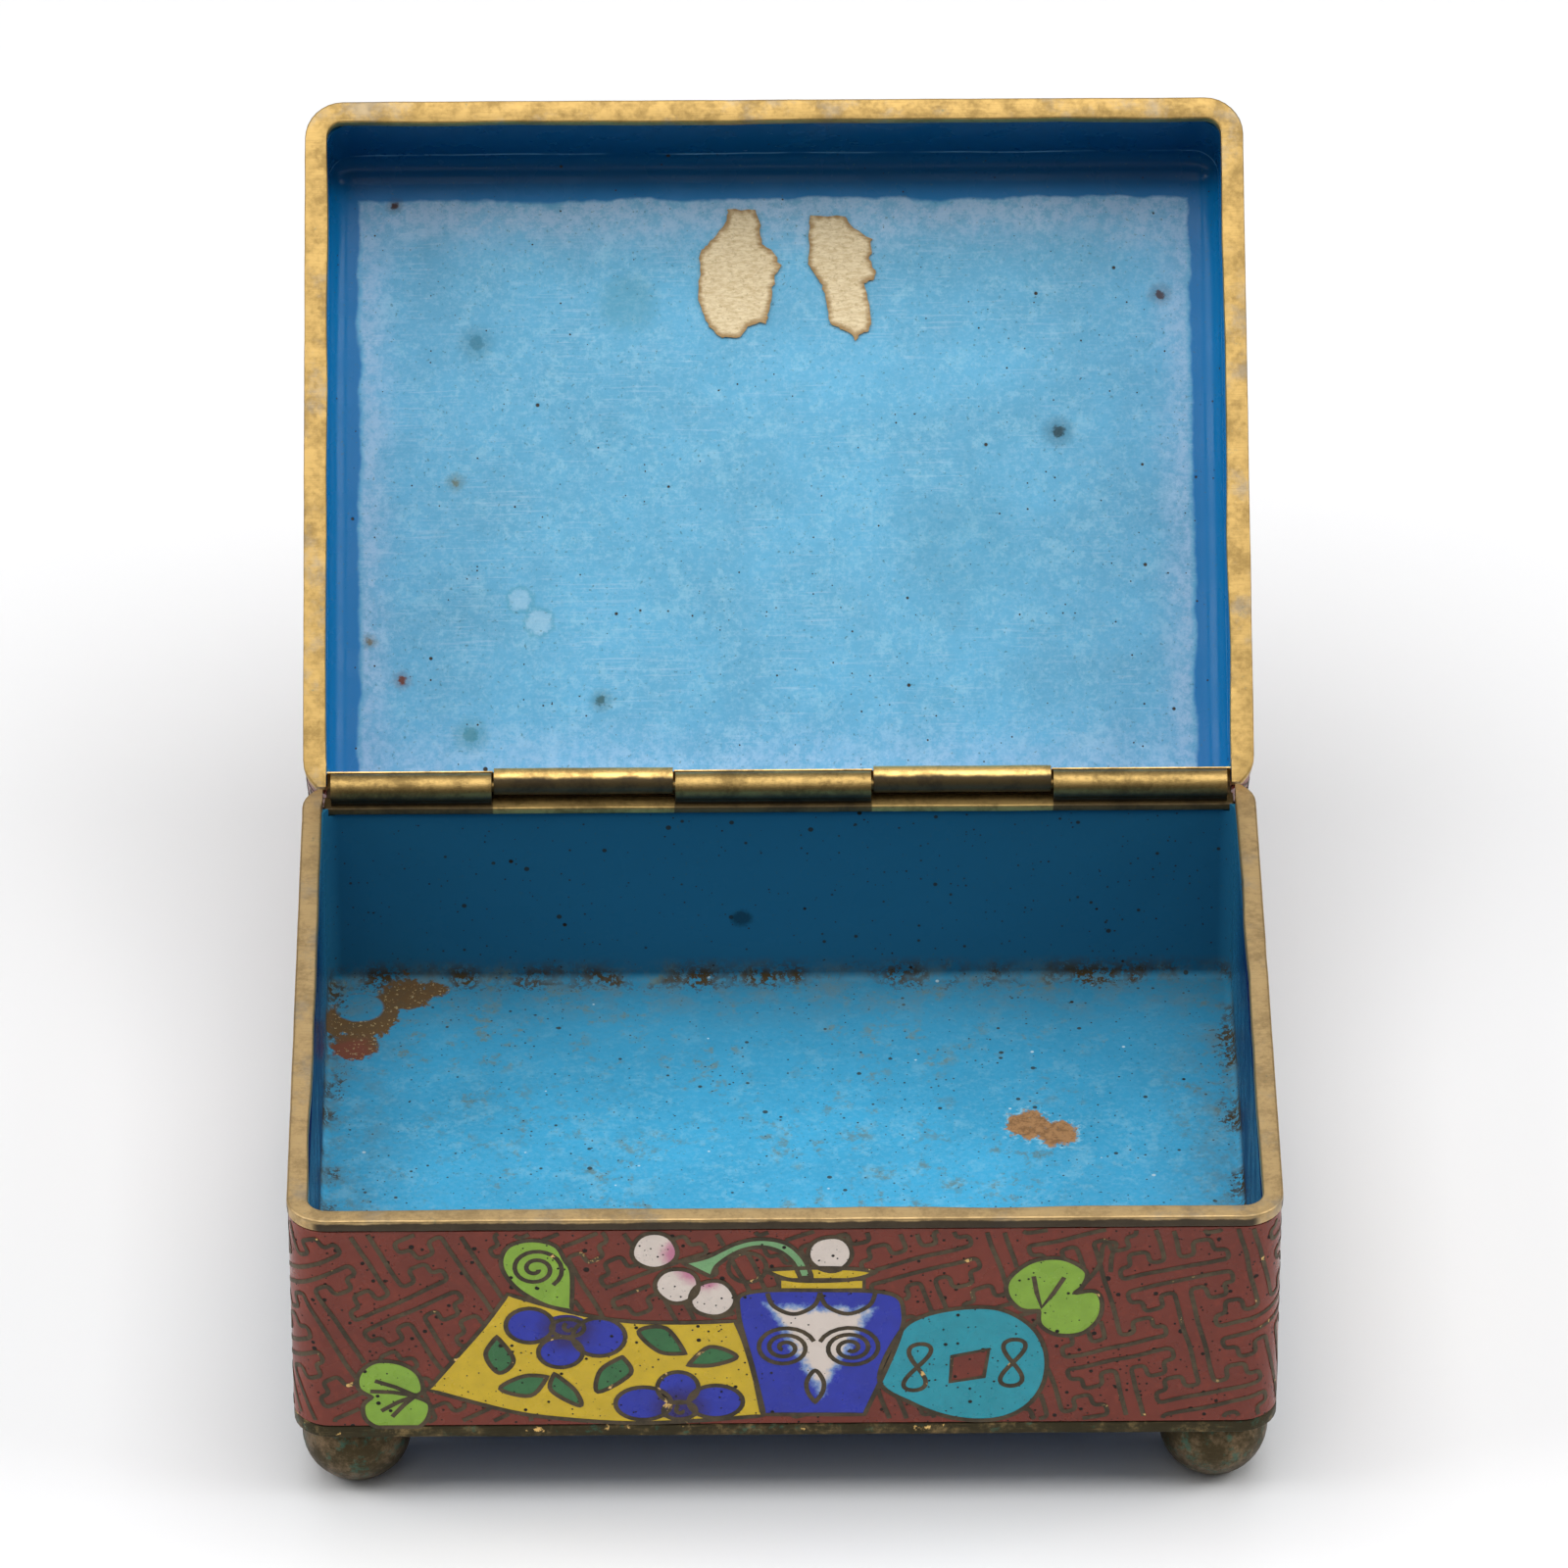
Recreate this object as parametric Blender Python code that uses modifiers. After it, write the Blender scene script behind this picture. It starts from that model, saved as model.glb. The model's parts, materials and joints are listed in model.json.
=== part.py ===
"""A cloisonne enamel box with a tube-hinged lid and four ball feet, at rest with its lid open.

Metres, +Z up, +X along the hinge, the front of the box towards -Y. The origin lies on the table, under the
middle of the open box's bounding box.
"""

from math import acos, asin, cos, pi, radians, sin, sqrt

import bmesh
import bpy
from mathutils import Matrix

MM = 0.001

# The box
WIDTH = 120.0 * MM
DEPTH = 92.0 * MM
BASE_HEIGHT = 33.0 * MM  # underside to the base's rim plane
LID_HEIGHT = 19.3 * MM  # hinge axis to the lid's top when shut
OPEN_ANGLE = radians(140)  # from shut to the stop, where the lid rests
RIM_GAP = 0.3 * MM  # between the two rims when shut

# Walls, from the outside in: enamel, copper, blue lining, with a film of air between
SKIN = 0.7 * MM
FILM = 0.15 * MM
CORNER_RADIUS = 4.7 * MM  # upright corners, outside
SHELL_INNER_RADIUS = 2.6 * MM
LINING_INNER_RADIUS = 1.8 * MM
LID_LINING_COVE = 2.4 * MM
CORNER_STEPS = 6

# The base's floor, above the underside
UNDERSIDE_RECESS = 1.0 * MM
UNDERSIDE_SKIN = 0.8 * MM
FLOOR_COPPER = 1.0 * MM
FLOOR_LINING = 1.0 * MM

# The lid's top, from its outer face inwards
TOP_SKIN = 0.6 * MM
TOP_COPPER = 0.55 * MM
TOP_LINING = 0.7 * MM

# Bronze strips
RIM_HEIGHT = 1.6 * MM
RIM_PROUD = 0.2 * MM
BASE_RIM_WIDTH = 2.5 * MM
LID_RIM_WIDTH = 2.9 * MM
RIM_BEVEL = 0.25 * MM
EDGE_BAND_HEIGHT = 1.7 * MM

# The hinge, about an axis half the rim gap above the base's rim plane. Each knuckle is eccentric to the pin.
AXIS_INSET = 0.9 * MM  # from the back face
HINGE_HALF_LENGTH = 56.8 * MM
KNUCKLE_EDGES = (-36.2 * MM, -13.25 * MM, 11.8 * MM, 34.55 * MM)
KNUCKLE_GAP = 0.3 * MM
PIN_RADIUS = 0.65 * MM
BORE_RADIUS = 0.74 * MM
BASE_KNUCKLE_RADIUS = 1.62 * MM
BASE_KNUCKLE_SHIFT = (-0.2 * MM, -0.3 * MM)
LID_KNUCKLE_RADIUS = 1.68 * MM
LID_KNUCKLE_SHIFT = (-0.5 * MM, 0.0)
BASE_GROOVE_RADIUS = 2.85 * MM  # under the lid's knuckles
LID_GROOVE_RADIUS = 1.95 * MM  # over the base's knuckles
BASE_STRIP_FRONT = -1.85 * MM
BASE_STRIP_BOTTOM = -3.45 * MM
LID_STRIP_FRONT = -2.1 * MM
LID_STRIP_TOP = 3.0 * MM
ROUND_STEPS = 32
PIN_STEPS = 24

# Ball feet
FOOT_RADIUS = 6.7 * MM
FOOT_INSET = 7.5 * MM  # of a foot's centre from the walls' faces
FOOT_CENTRE_DROP = 3.95 * MM
FOOT_FLAT_RADIUS = 2.2 * MM
FOOT_ARC_STEPS = 9
FOOT_TURN_STEPS = 24
FOOT_POINT_MERGE = 0.01 * MM  # of the turned profile, on its axis

# Two torn bits of paper on the lid's lining, (across, distance from the hinge) in millimetres
PAPER_THICKNESS = 0.12 * MM
PAPER_OUTLINES = {
    "label_remnant_left": (
        (-5.9, 81.8), (-2.4, 81.8), (-1.6, 77.1), (-0.2, 76.4), (0.8, 74.1), (0.0, 72.4), (-1.1, 66.3),
        (-3.4, 65.9), (-4.4, 64.5), (-6.9, 64.5), (-9.4, 68.0), (-9.9, 70.0), (-9.6, 76.1), (-6.1, 80.2),
    ),
    "label_remnant_right": (
        (4.7, 81.0), (9.3, 80.8), (12.6, 77.6), (12.2, 75.0), (13.1, 73.5), (11.6, 71.9), (12.5, 66.2),
        (10.9, 64.9), (10.5, 64.0), (10.0, 64.9), (7.2, 66.3), (6.2, 71.6), (4.4, 74.4),
    ),
}

# How far a cutter runs on beyond what it cuts: in the open, and along the hinge
OVERSHOOT = 10.0 * MM
HINGE_OVERSHOOT = 2.0 * MM

# Worked out from the sizes above
FOOT_REACH = sqrt(FOOT_RADIUS**2 - FOOT_FLAT_RADIUS**2)
UNDERSIDE_Z = FOOT_CENTRE_DROP + FOOT_REACH  # above the table
AXIS_Z = BASE_HEIGHT + RIM_GAP / 2  # above the underside
AXIS_Y = DEPTH / 2 - AXIS_INSET
LID_CENTRE_Y = -AXIS_Y  # the middle of the lid, from the axis
LID_RIM_Z = RIM_GAP / 2
LID_REACH = AXIS_Y + DEPTH / 2
WALL_STACK = 3 * SKIN + 2 * FILM
LID_BACK_Y = AXIS_Y - LID_REACH * cos(OPEN_ANGLE) + LID_HEIGHT * sin(OPEN_ANGLE)
BOX_Y = (DEPTH / 2 + RIM_PROUD - LID_BACK_Y) / 2  # puts the open box's middle over the origin

# The hinge's five spans, each (name, low x, high x), and which body carries it
SPAN_EDGES = (-HINGE_HALF_LENGTH, *KNUCKLE_EDGES, HINGE_HALF_LENGTH)
SPAN_NAMES = (
    "base_knuckle_left",
    "lid_knuckle_left",
    "base_knuckle_centre",
    "lid_knuckle_right",
    "base_knuckle_right",
)
SPANS = tuple(zip(SPAN_NAMES, SPAN_EDGES, SPAN_EDGES[1:]))


def clear_scene():
    for obj in list(bpy.data.objects):
        bpy.data.objects.remove(obj, do_unlink=True)


def new_collection(name):
    collection = bpy.data.collections.new(name)
    bpy.context.scene.collection.children.link(collection)
    return collection


def material(name, colour, roughness, metallic=0.0):
    made = bpy.data.materials.new(name)
    made.use_nodes = True
    made.diffuse_color = (*colour, 1.0)
    shader = made.node_tree.nodes["Principled BSDF"]
    shader.inputs["Base Color"].default_value = (*colour, 1.0)
    shader.inputs["Roughness"].default_value = roughness
    shader.inputs["Metallic"].default_value = metallic
    return made


def frame_empty(name, location, rotation=(0, 0, 0)):
    empty = bpy.data.objects.new(name, None)
    empty.location = location
    empty.rotation_euler = rotation
    empty.empty_display_size = 0.01
    PARTS.objects.link(empty)
    return empty


def add(name, bm, parent, paint, smooth=False, location=(0, 0, 0)):
    """Turns the bmesh into a part under the parent empty."""
    mesh = bpy.data.meshes.new(name)
    bm.to_mesh(mesh)
    bm.free()
    if smooth:
        mesh.shade_smooth()
        mesh.set_sharp_from_angle(angle=radians(40))
    mesh.materials.append(paint)
    obj = bpy.data.objects.new(name, mesh)
    PARTS.objects.link(obj)
    obj.parent = parent
    obj.location = location
    return obj


def cut(obj, bm, name):
    """Takes the bmesh's shape out of the part, as a wireframe cutter under the same parent."""
    mesh = bpy.data.meshes.new(name)
    bm.to_mesh(mesh)
    bm.free()
    cutter = bpy.data.objects.new(name, mesh)
    CUTTERS.objects.link(cutter)
    cutter.parent = obj.parent
    cutter.location = obj.location
    cutter.hide_render = True
    cutter.display_type = "WIRE"
    boolean = obj.modifiers.new(name, "BOOLEAN")
    boolean.operation = "DIFFERENCE"
    boolean.solver = "EXACT"
    boolean.object = cutter


def box(x_range, y_range, z_range):
    bm = bmesh.new()
    bmesh.ops.create_cube(bm, size=1.0)
    ranges = (x_range, y_range, z_range)
    bmesh.ops.scale(bm, vec=[high - low for low, high in ranges], verts=bm.verts)
    bmesh.ops.translate(bm, vec=[(high + low) / 2 for low, high in ranges], verts=bm.verts)
    return bm


def block(inset, y_middle, z_range, radius, rounded_end=None):
    """A block the size of the box less an inset, with round upright corners and, if asked, one round end."""
    half_width = WIDTH / 2 - inset
    half_depth = DEPTH / 2 - inset
    bm = box((-half_width, half_width), (y_middle - half_depth, y_middle + half_depth), z_range)

    def is_rounded(edge):
        heights = [vert.co.z for vert in edge.verts]
        upright = abs(heights[0] - heights[1]) > FILM
        return upright or (rounded_end is not None and abs(heights[0] - rounded_end) < FILM)

    bmesh.ops.bevel(
        bm,
        geom=[edge for edge in bm.edges if is_rounded(edge)],
        offset=radius,
        segments=CORNER_STEPS,
        profile=0.5,
        affect="EDGES",
    )
    return bm


def ring(name, parent, paint, y_middle, z_range, thickness, proud=0.0):
    """A strip that runs all round the box, thickened inwards from the open band of its outer face."""
    bm = block(-proud, y_middle, z_range, CORNER_RADIUS + proud)
    ends = [face for face in bm.faces if abs(face.normal.z) > 0.9]
    bmesh.ops.delete(bm, geom=ends, context="FACES")
    obj = add(name, bm, parent, paint, smooth=True)
    solidify = obj.modifiers.new("thickness", "SOLIDIFY")
    solidify.thickness = thickness
    solidify.offset = -1.0
    solidify.use_even_offset = True
    return obj


def rod(x_range, radius, shift=(0.0, 0.0), steps=ROUND_STEPS):
    """A cylinder along X, its axis moved from the hinge's by the shift in Y and Z."""
    low, high = x_range
    bm = bmesh.new()
    turn = Matrix.Rotation(pi / 2, 4, "Y")
    bmesh.ops.create_cone(
        bm,
        cap_ends=True,
        segments=steps,
        radius1=radius,
        radius2=radius,
        depth=high - low,
        matrix=Matrix.Translation(((low + high) / 2, *shift)) @ turn,
    )
    return bm


def foot(name, parent, paint, location):
    """A turned ball, cut flat where it stands and where it is soldered on."""
    top = UNDERSIDE_RECESS - FILM + FOOT_CENTRE_DROP
    first_angle = acos(top / FOOT_RADIUS)
    last_angle = pi - asin(FOOT_FLAT_RADIUS / FOOT_RADIUS)
    points = [(0.0, top)]
    for step in range(FOOT_ARC_STEPS + 1):
        angle = first_angle + (last_angle - first_angle) * step / FOOT_ARC_STEPS
        points.append((FOOT_RADIUS * sin(angle), FOOT_RADIUS * cos(angle)))
    points.append((0.0, -FOOT_REACH))
    bm = bmesh.new()
    verts = [bm.verts.new((x, 0.0, z)) for x, z in points]
    for above, below in zip(verts, verts[1:]):
        bm.edges.new((above, below))
    obj = add(name, bm, parent, paint, location=location)
    screw = obj.modifiers.new("turn", "SCREW")
    screw.axis = "Z"
    screw.steps = FOOT_TURN_STEPS
    screw.render_steps = FOOT_TURN_STEPS
    screw.use_merge_vertices = True
    screw.merge_threshold = FOOT_POINT_MERGE
    screw.use_smooth_shade = True


def tray(name, parent, paint, outer, cavity):
    """An open tray: a block with a smaller block taken out of it."""
    obj = add(name, outer, parent, paint, smooth=True)
    cut(obj, cavity, name + "_cavity")
    return obj


def rim(name, parent, paint, y_middle, z_range, width):
    """The strip on the walls' top edges, stopping short of the hinge at the back."""
    obj = ring(name, parent, paint, y_middle, z_range, width, RIM_PROUD)
    bevel = obj.modifiers.new("worn_edges", "BEVEL")
    bevel.width = RIM_BEVEL
    bevel.segments = 2
    bevel.limit_method = "ANGLE"
    bevel.angle_limit = radians(60)
    axis_y = y_middle + AXIS_Y
    low, high = z_range
    side = WIDTH / 2 + OVERSHOOT
    high_and_low = (low - OVERSHOOT, high + OVERSHOOT)
    inner_half = WIDTH / 2 - width + RIM_PROUD
    cut(obj, box((-side, side), (axis_y - FILM, axis_y + OVERSHOOT), high_and_low), name + "_end")
    back = (y_middle + DEPTH / 2 - width - OVERSHOOT, axis_y + OVERSHOOT)
    cut(obj, box((-inner_half, inner_half), back, high_and_low), name + "_hinge_gap")
    return obj


def open_the_back(obj, half_length, y_front, z_range):
    """Cuts the back wall down to make room for the hinge strip."""
    far = y_front + OVERSHOOT
    cut(obj, box((-half_length, half_length), (y_front, far), z_range), obj.name + "_hinge_room")


def build_base(parent, paints):
    inner_floor = UNDERSIDE_RECESS + UNDERSIDE_SKIN + FILM
    lining_floor = inner_floor + FLOOR_COPPER + FILM
    wall_top = BASE_HEIGHT - RIM_HEIGHT - FILM
    above = BASE_HEIGHT + OVERSHOOT
    shell_inset = SKIN + FILM
    lining_inset = 2 * shell_inset

    shell = tray(
        "base_shell",
        parent,
        paints["copper"],
        block(shell_inset, 0, (inner_floor, wall_top), CORNER_RADIUS - shell_inset),
        block(shell_inset + SKIN, 0, (inner_floor + FLOOR_COPPER, above), SHELL_INNER_RADIUS),
    )
    floor_top = lining_floor + FLOOR_LINING
    lining = tray(
        "base_lining",
        parent,
        paints["blue"],
        block(lining_inset, 0, (lining_floor, wall_top), SHELL_INNER_RADIUS - FILM),
        block(WALL_STACK, 0, (floor_top, above), LINING_INNER_RADIUS, floor_top),
    )
    wall = ring(
        "base_wall_enamel", parent, paints["red"], 0, (EDGE_BAND_HEIGHT + FILM, wall_top), SKIN
    )
    underside = block(
        shell_inset,
        0,
        (UNDERSIDE_RECESS, UNDERSIDE_RECESS + UNDERSIDE_SKIN),
        CORNER_RADIUS - shell_inset,
    )
    add("base_underside_enamel", underside, parent, paints["blue"], smooth=True)
    ring("base_foot_band", parent, paints["bronze"], 0, (0.0, EDGE_BAND_HEIGHT), SKIN)
    rim("base_rim", parent, paints["bronze"], 0, (BASE_HEIGHT - RIM_HEIGHT, BASE_HEIGHT), BASE_RIM_WIDTH)

    strip_half = WIDTH / 2 - BASE_RIM_WIDTH + RIM_PROUD - FILM
    for obj in (shell, lining, wall):
        room = (AXIS_Z + BASE_STRIP_BOTTOM - FILM, above)
        open_the_back(obj, strip_half + FILM, AXIS_Y + BASE_STRIP_FRONT - FILM, room)

    centre_x = WIDTH / 2 - FOOT_INSET
    centre_y = DEPTH / 2 - FOOT_INSET
    for end, y in (("front", -centre_y), ("back", centre_y)):
        for side, x in (("left", -centre_x), ("right", centre_x)):
            foot(f"foot_{end}_{side}", parent, paints["dark_bronze"], (x, y, -FOOT_CENTRE_DROP))


def build_lid(parent, paints):
    """The lid in its own frame: the origin on the hinge, the lid's front towards -Y and its top upwards."""
    wall_foot = LID_RIM_Z + RIM_HEIGHT + FILM
    copper_top = LID_HEIGHT - TOP_SKIN - FILM
    lining_top = copper_top - TOP_COPPER - FILM
    lining_flat = lining_top - TOP_LINING
    below = LID_RIM_Z - OVERSHOOT
    shell_inset = SKIN + FILM
    middle = LID_CENTRE_Y

    shell = tray(
        "lid_shell",
        parent,
        paints["copper"],
        block(shell_inset, middle, (wall_foot, copper_top), CORNER_RADIUS - shell_inset),
        block(shell_inset + SKIN, middle, (below, copper_top - TOP_COPPER), SHELL_INNER_RADIUS),
    )
    lining = tray(
        "lid_lining",
        parent,
        paints["blue"],
        block(2 * shell_inset, middle, (wall_foot, lining_top), SHELL_INNER_RADIUS - FILM),
        block(WALL_STACK, middle, (below, lining_flat), LID_LINING_COVE, lining_flat),
    )
    band_foot = LID_HEIGHT - EDGE_BAND_HEIGHT
    wall = ring("lid_wall_enamel", parent, paints["red"], middle, (wall_foot, band_foot - FILM), SKIN)
    ring("lid_top_band", parent, paints["bronze"], middle, (band_foot, LID_HEIGHT), SKIN)
    top = block(shell_inset, middle, (LID_HEIGHT - TOP_SKIN, LID_HEIGHT), CORNER_RADIUS - shell_inset)
    add("lid_top_enamel", top, parent, paints["red"], smooth=True)
    rim("lid_rim", parent, paints["bronze"], middle, (LID_RIM_Z, LID_RIM_Z + RIM_HEIGHT), LID_RIM_WIDTH)

    strip_half = WIDTH / 2 - LID_RIM_WIDTH + RIM_PROUD - FILM
    for obj in (shell, lining, wall):
        open_the_back(obj, strip_half + FILM, LID_STRIP_FRONT - FILM, (below, LID_STRIP_TOP + FILM))

    for name, outline in PAPER_OUTLINES.items():
        paper(name, parent, paints["paper"], outline, lining_flat - FILM - PAPER_THICKNESS / 2)


def paper(name, parent, paint, outline, height):
    curve = bpy.data.curves.new(name, "CURVE")
    curve.dimensions = "2D"
    curve.fill_mode = "BOTH"
    curve.extrude = PAPER_THICKNESS / 2
    spline = curve.splines.new("POLY")
    spline.points.add(len(outline) - 1)
    for point, (across, along) in zip(spline.points, outline):
        point.co = (across * MM, -along * MM, 0.0, 1.0)
    spline.use_cyclic_u = True
    curve.materials.append(paint)
    obj = bpy.data.objects.new(name, curve)
    PARTS.objects.link(obj)
    obj.parent = parent
    obj.location = (0, 0, height)


def build_hinge(base_axis, lid_pivot, paints):
    """The two grooved strips, five knuckles between them and the pin, all about the hinge's axis."""
    brass = paints["bronze"]
    base_half = WIDTH / 2 - BASE_RIM_WIDTH + RIM_PROUD - FILM
    lid_half = WIDTH / 2 - LID_RIM_WIDTH + RIM_PROUD - FILM
    base_strip = add(
        "base_hinge_strip",
        box((-base_half, base_half), (BASE_STRIP_FRONT, AXIS_INSET), (BASE_STRIP_BOTTOM, -RIM_GAP)),
        base_axis,
        brass,
    )
    lid_strip = add(
        "lid_hinge_strip",
        box((-lid_half, lid_half), (LID_STRIP_FRONT, AXIS_INSET), (LID_RIM_Z, LID_STRIP_TOP)),
        lid_pivot,
        brass,
    )
    # behind the axis the base's groove keeps its full radius all along, which is what lets the lid fall back
    behind = rod((-WIDTH, WIDTH), BASE_GROOVE_RADIUS)
    bmesh.ops.bisect_plane(
        behind,
        geom=behind.verts[:] + behind.edges[:] + behind.faces[:],
        plane_co=(0, 0, 0),
        plane_no=(0, -1, 0),
        clear_outer=True,
    )
    bmesh.ops.holes_fill(behind, edges=[edge for edge in behind.edges if edge.is_boundary])
    bmesh.ops.recalc_face_normals(behind, faces=behind.faces)
    cut(base_strip, behind, "base_groove_behind")

    for name, low, high in SPANS:
        span = (
            low - HINGE_OVERSHOOT if low == SPAN_EDGES[0] else low,
            high + HINGE_OVERSHOOT if high == SPAN_EDGES[-1] else high,
        )
        on_base = name.startswith("base")
        radius = BASE_KNUCKLE_RADIUS if on_base else LID_KNUCKLE_RADIUS
        shift = BASE_KNUCKLE_SHIFT if on_base else LID_KNUCKLE_SHIFT
        own_strip = base_strip if on_base else lid_strip
        other_strip = lid_strip if on_base else base_strip
        groove = LID_GROOVE_RADIUS if on_base else BASE_GROOVE_RADIUS
        cut(own_strip, rod(span, radius + FILM, shift), name + "_seat")
        cut(other_strip, rod(span, groove), name + "_groove")

        ends = (low + KNUCKLE_GAP / 2, high - KNUCKLE_GAP / 2)
        knuckle = add(
            name, rod(ends, radius, shift), base_axis if on_base else lid_pivot, brass, smooth=True
        )
        cut(knuckle, rod((low - HINGE_OVERSHOOT, high + HINGE_OVERSHOOT), BORE_RADIUS), name + "_bore")

    pin_span = (-HINGE_HALF_LENGTH + KNUCKLE_GAP / 2, HINGE_HALF_LENGTH - KNUCKLE_GAP / 2)
    add("hinge_pin", rod(pin_span, PIN_RADIUS, steps=PIN_STEPS), base_axis, brass, smooth=True)


clear_scene()
PARTS = new_collection("cloisonne_box")
CUTTERS = new_collection("cutters")
PAINTS = {
    "copper": material("copper", (0.55, 0.27, 0.15), 0.45, 1.0),
    "blue": material("blue_enamel", (0.16, 0.42, 0.66), 0.3),
    "red": material("red_enamel", (0.30, 0.07, 0.05), 0.35),
    "bronze": material("gilt_bronze", (0.62, 0.42, 0.16), 0.4, 1.0),
    "dark_bronze": material("dark_bronze", (0.10, 0.08, 0.06), 0.5, 1.0),
    "paper": material("paper", (0.78, 0.66, 0.42), 0.9),
}
BASE_FRAME = frame_empty("base_frame", (0, BOX_Y, UNDERSIDE_Z))
BASE_AXIS = frame_empty("base_hinge_axis", (0, BOX_Y + AXIS_Y, UNDERSIDE_Z + AXIS_Z))
LID_PIVOT = frame_empty("lid_pivot", BASE_AXIS.location, (-OPEN_ANGLE, 0, 0))

build_base(BASE_FRAME, PAINTS)
build_lid(LID_PIVOT, PAINTS)
build_hinge(BASE_AXIS, LID_PIVOT, PAINTS)
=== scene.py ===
"""The finish of a cloisonne enamel box: linings, walls, wires, coloured cells, gilt strips, hinge and ball feet."""

import json
from math import cos, hypot, pi, radians, sin

import bmesh
import bpy
from mathutils import Matrix, Vector, noise


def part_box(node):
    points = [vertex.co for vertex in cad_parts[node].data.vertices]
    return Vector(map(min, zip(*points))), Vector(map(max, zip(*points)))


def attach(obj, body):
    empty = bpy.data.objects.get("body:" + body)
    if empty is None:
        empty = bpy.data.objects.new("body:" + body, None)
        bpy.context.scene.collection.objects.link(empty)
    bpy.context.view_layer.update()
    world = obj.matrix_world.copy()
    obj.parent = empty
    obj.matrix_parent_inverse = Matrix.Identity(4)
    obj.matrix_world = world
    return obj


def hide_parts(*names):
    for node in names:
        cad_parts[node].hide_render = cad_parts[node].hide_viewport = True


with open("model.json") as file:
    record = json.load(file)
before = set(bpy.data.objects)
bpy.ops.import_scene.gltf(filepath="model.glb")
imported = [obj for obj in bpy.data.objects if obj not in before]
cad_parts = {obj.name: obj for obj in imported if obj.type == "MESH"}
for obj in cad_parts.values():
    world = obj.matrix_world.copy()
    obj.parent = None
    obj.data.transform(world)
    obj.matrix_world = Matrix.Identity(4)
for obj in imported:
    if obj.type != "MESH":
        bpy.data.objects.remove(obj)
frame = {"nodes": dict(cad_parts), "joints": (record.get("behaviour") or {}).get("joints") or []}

bl_info = {
    "name": "Cloisonne Box",
    "version": (1, 0, 0),
    "blender": (4, 5, 0),
    "location": "View3D > Sidebar > Cloisonne Box",
    "description": "Enamels, wires and gilds a hinged cloisonne box on ball feet",
    "category": "Object",
}

for leftover in ("Cube", "Light", "Camera"):
    if leftover in bpy.data.objects:
        bpy.data.objects.remove(bpy.data.objects[leftover], do_unlink=True)
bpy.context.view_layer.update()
MM = 0.001

# The box as its solids stand
BAND_LOW, BAND_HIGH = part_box("base_foot_band")
RIM_LOW, RIM_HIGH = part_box("base_rim")
HALF_X = (BAND_HIGH.x - BAND_LOW.x) / 2
HALF_Y = (BAND_HIGH.y - BAND_LOW.y) / 2
BOX_Y = (BAND_HIGH.y + BAND_LOW.y) / 2
UNDERSIDE_Z = BAND_LOW.z
RIM_TOP = RIM_HIGH.z - UNDERSIDE_Z
RIM_PROUD = RIM_HIGH.x - BAND_HIGH.x
HINGE = next(joint for joint in frame["joints"] if joint["name"] == "lid_hinge")
PIVOT = Vector(HINGE["pos_m"])
OPEN_ANGLE = radians(HINGE["range_deg"][1])
AXIS_Y = PIVOT.y - BOX_Y
AXIS_Z = PIVOT.z - UNDERSIDE_Z
LID_HEIGHT = 19.3 * MM

BASE_PLACE = Matrix.Translation((0, BOX_Y, UNDERSIDE_Z))
LID_PLACE = Matrix.Translation(PIVOT) @ Matrix.Rotation(-OPEN_ANGLE, 4, "X")
PLACES = {"base": BASE_PLACE, "lid": LID_PLACE}
MIDDLES = {"base": 0.0, "lid": -AXIS_Y}  # the middle of each half in its own frame, along Y

CORNER = 4.7 * MM
FILM = 0.15 * MM
SKIN = 0.7 * MM


class BoxSizes(bpy.types.PropertyGroup):
    """Sizes of the finish, beyond what the solids fix."""

    skin: bpy.props.FloatProperty(
        name="Enamel thickness", description="Thickness of the fired enamel on the walls", default=SKIN, unit="LENGTH"
    )
    wire_width: bpy.props.FloatProperty(
        name="Wire width", description="Width of the bent wires between the cells", default=0.58 * MM, unit="LENGTH"
    )
    wire_proud: bpy.props.FloatProperty(
        name="Wire height", description="How far a wire stands above the ground", default=0.06 * MM, unit="LENGTH"
    )
    cell_proud: bpy.props.FloatProperty(
        name="Cell height", description="How far a coloured cell stands above the ground", default=0.02 * MM,
        unit="LENGTH",
    )
    fret_tile: bpy.props.FloatProperty(
        name="Fret tile", description="Side of one tile of the key fret", default=9.687 * MM, unit="LENGTH"
    )
    fret_slant: bpy.props.FloatProperty(
        name="Fret slant", description="How far the fret leans", default=radians(20.94), subtype="ANGLE"
    )
    cove: bpy.props.FloatProperty(
        name="Lid cove", description="Radius where the lid's lining turns from walls to top", default=3.2 * MM,
        unit="LENGTH",
    )
    unevenness: bpy.props.FloatProperty(
        name="Unevenness", description="Depth of the dents and waves left by hand work", default=0.07 * MM,
        unit="LENGTH",
    )


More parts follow.
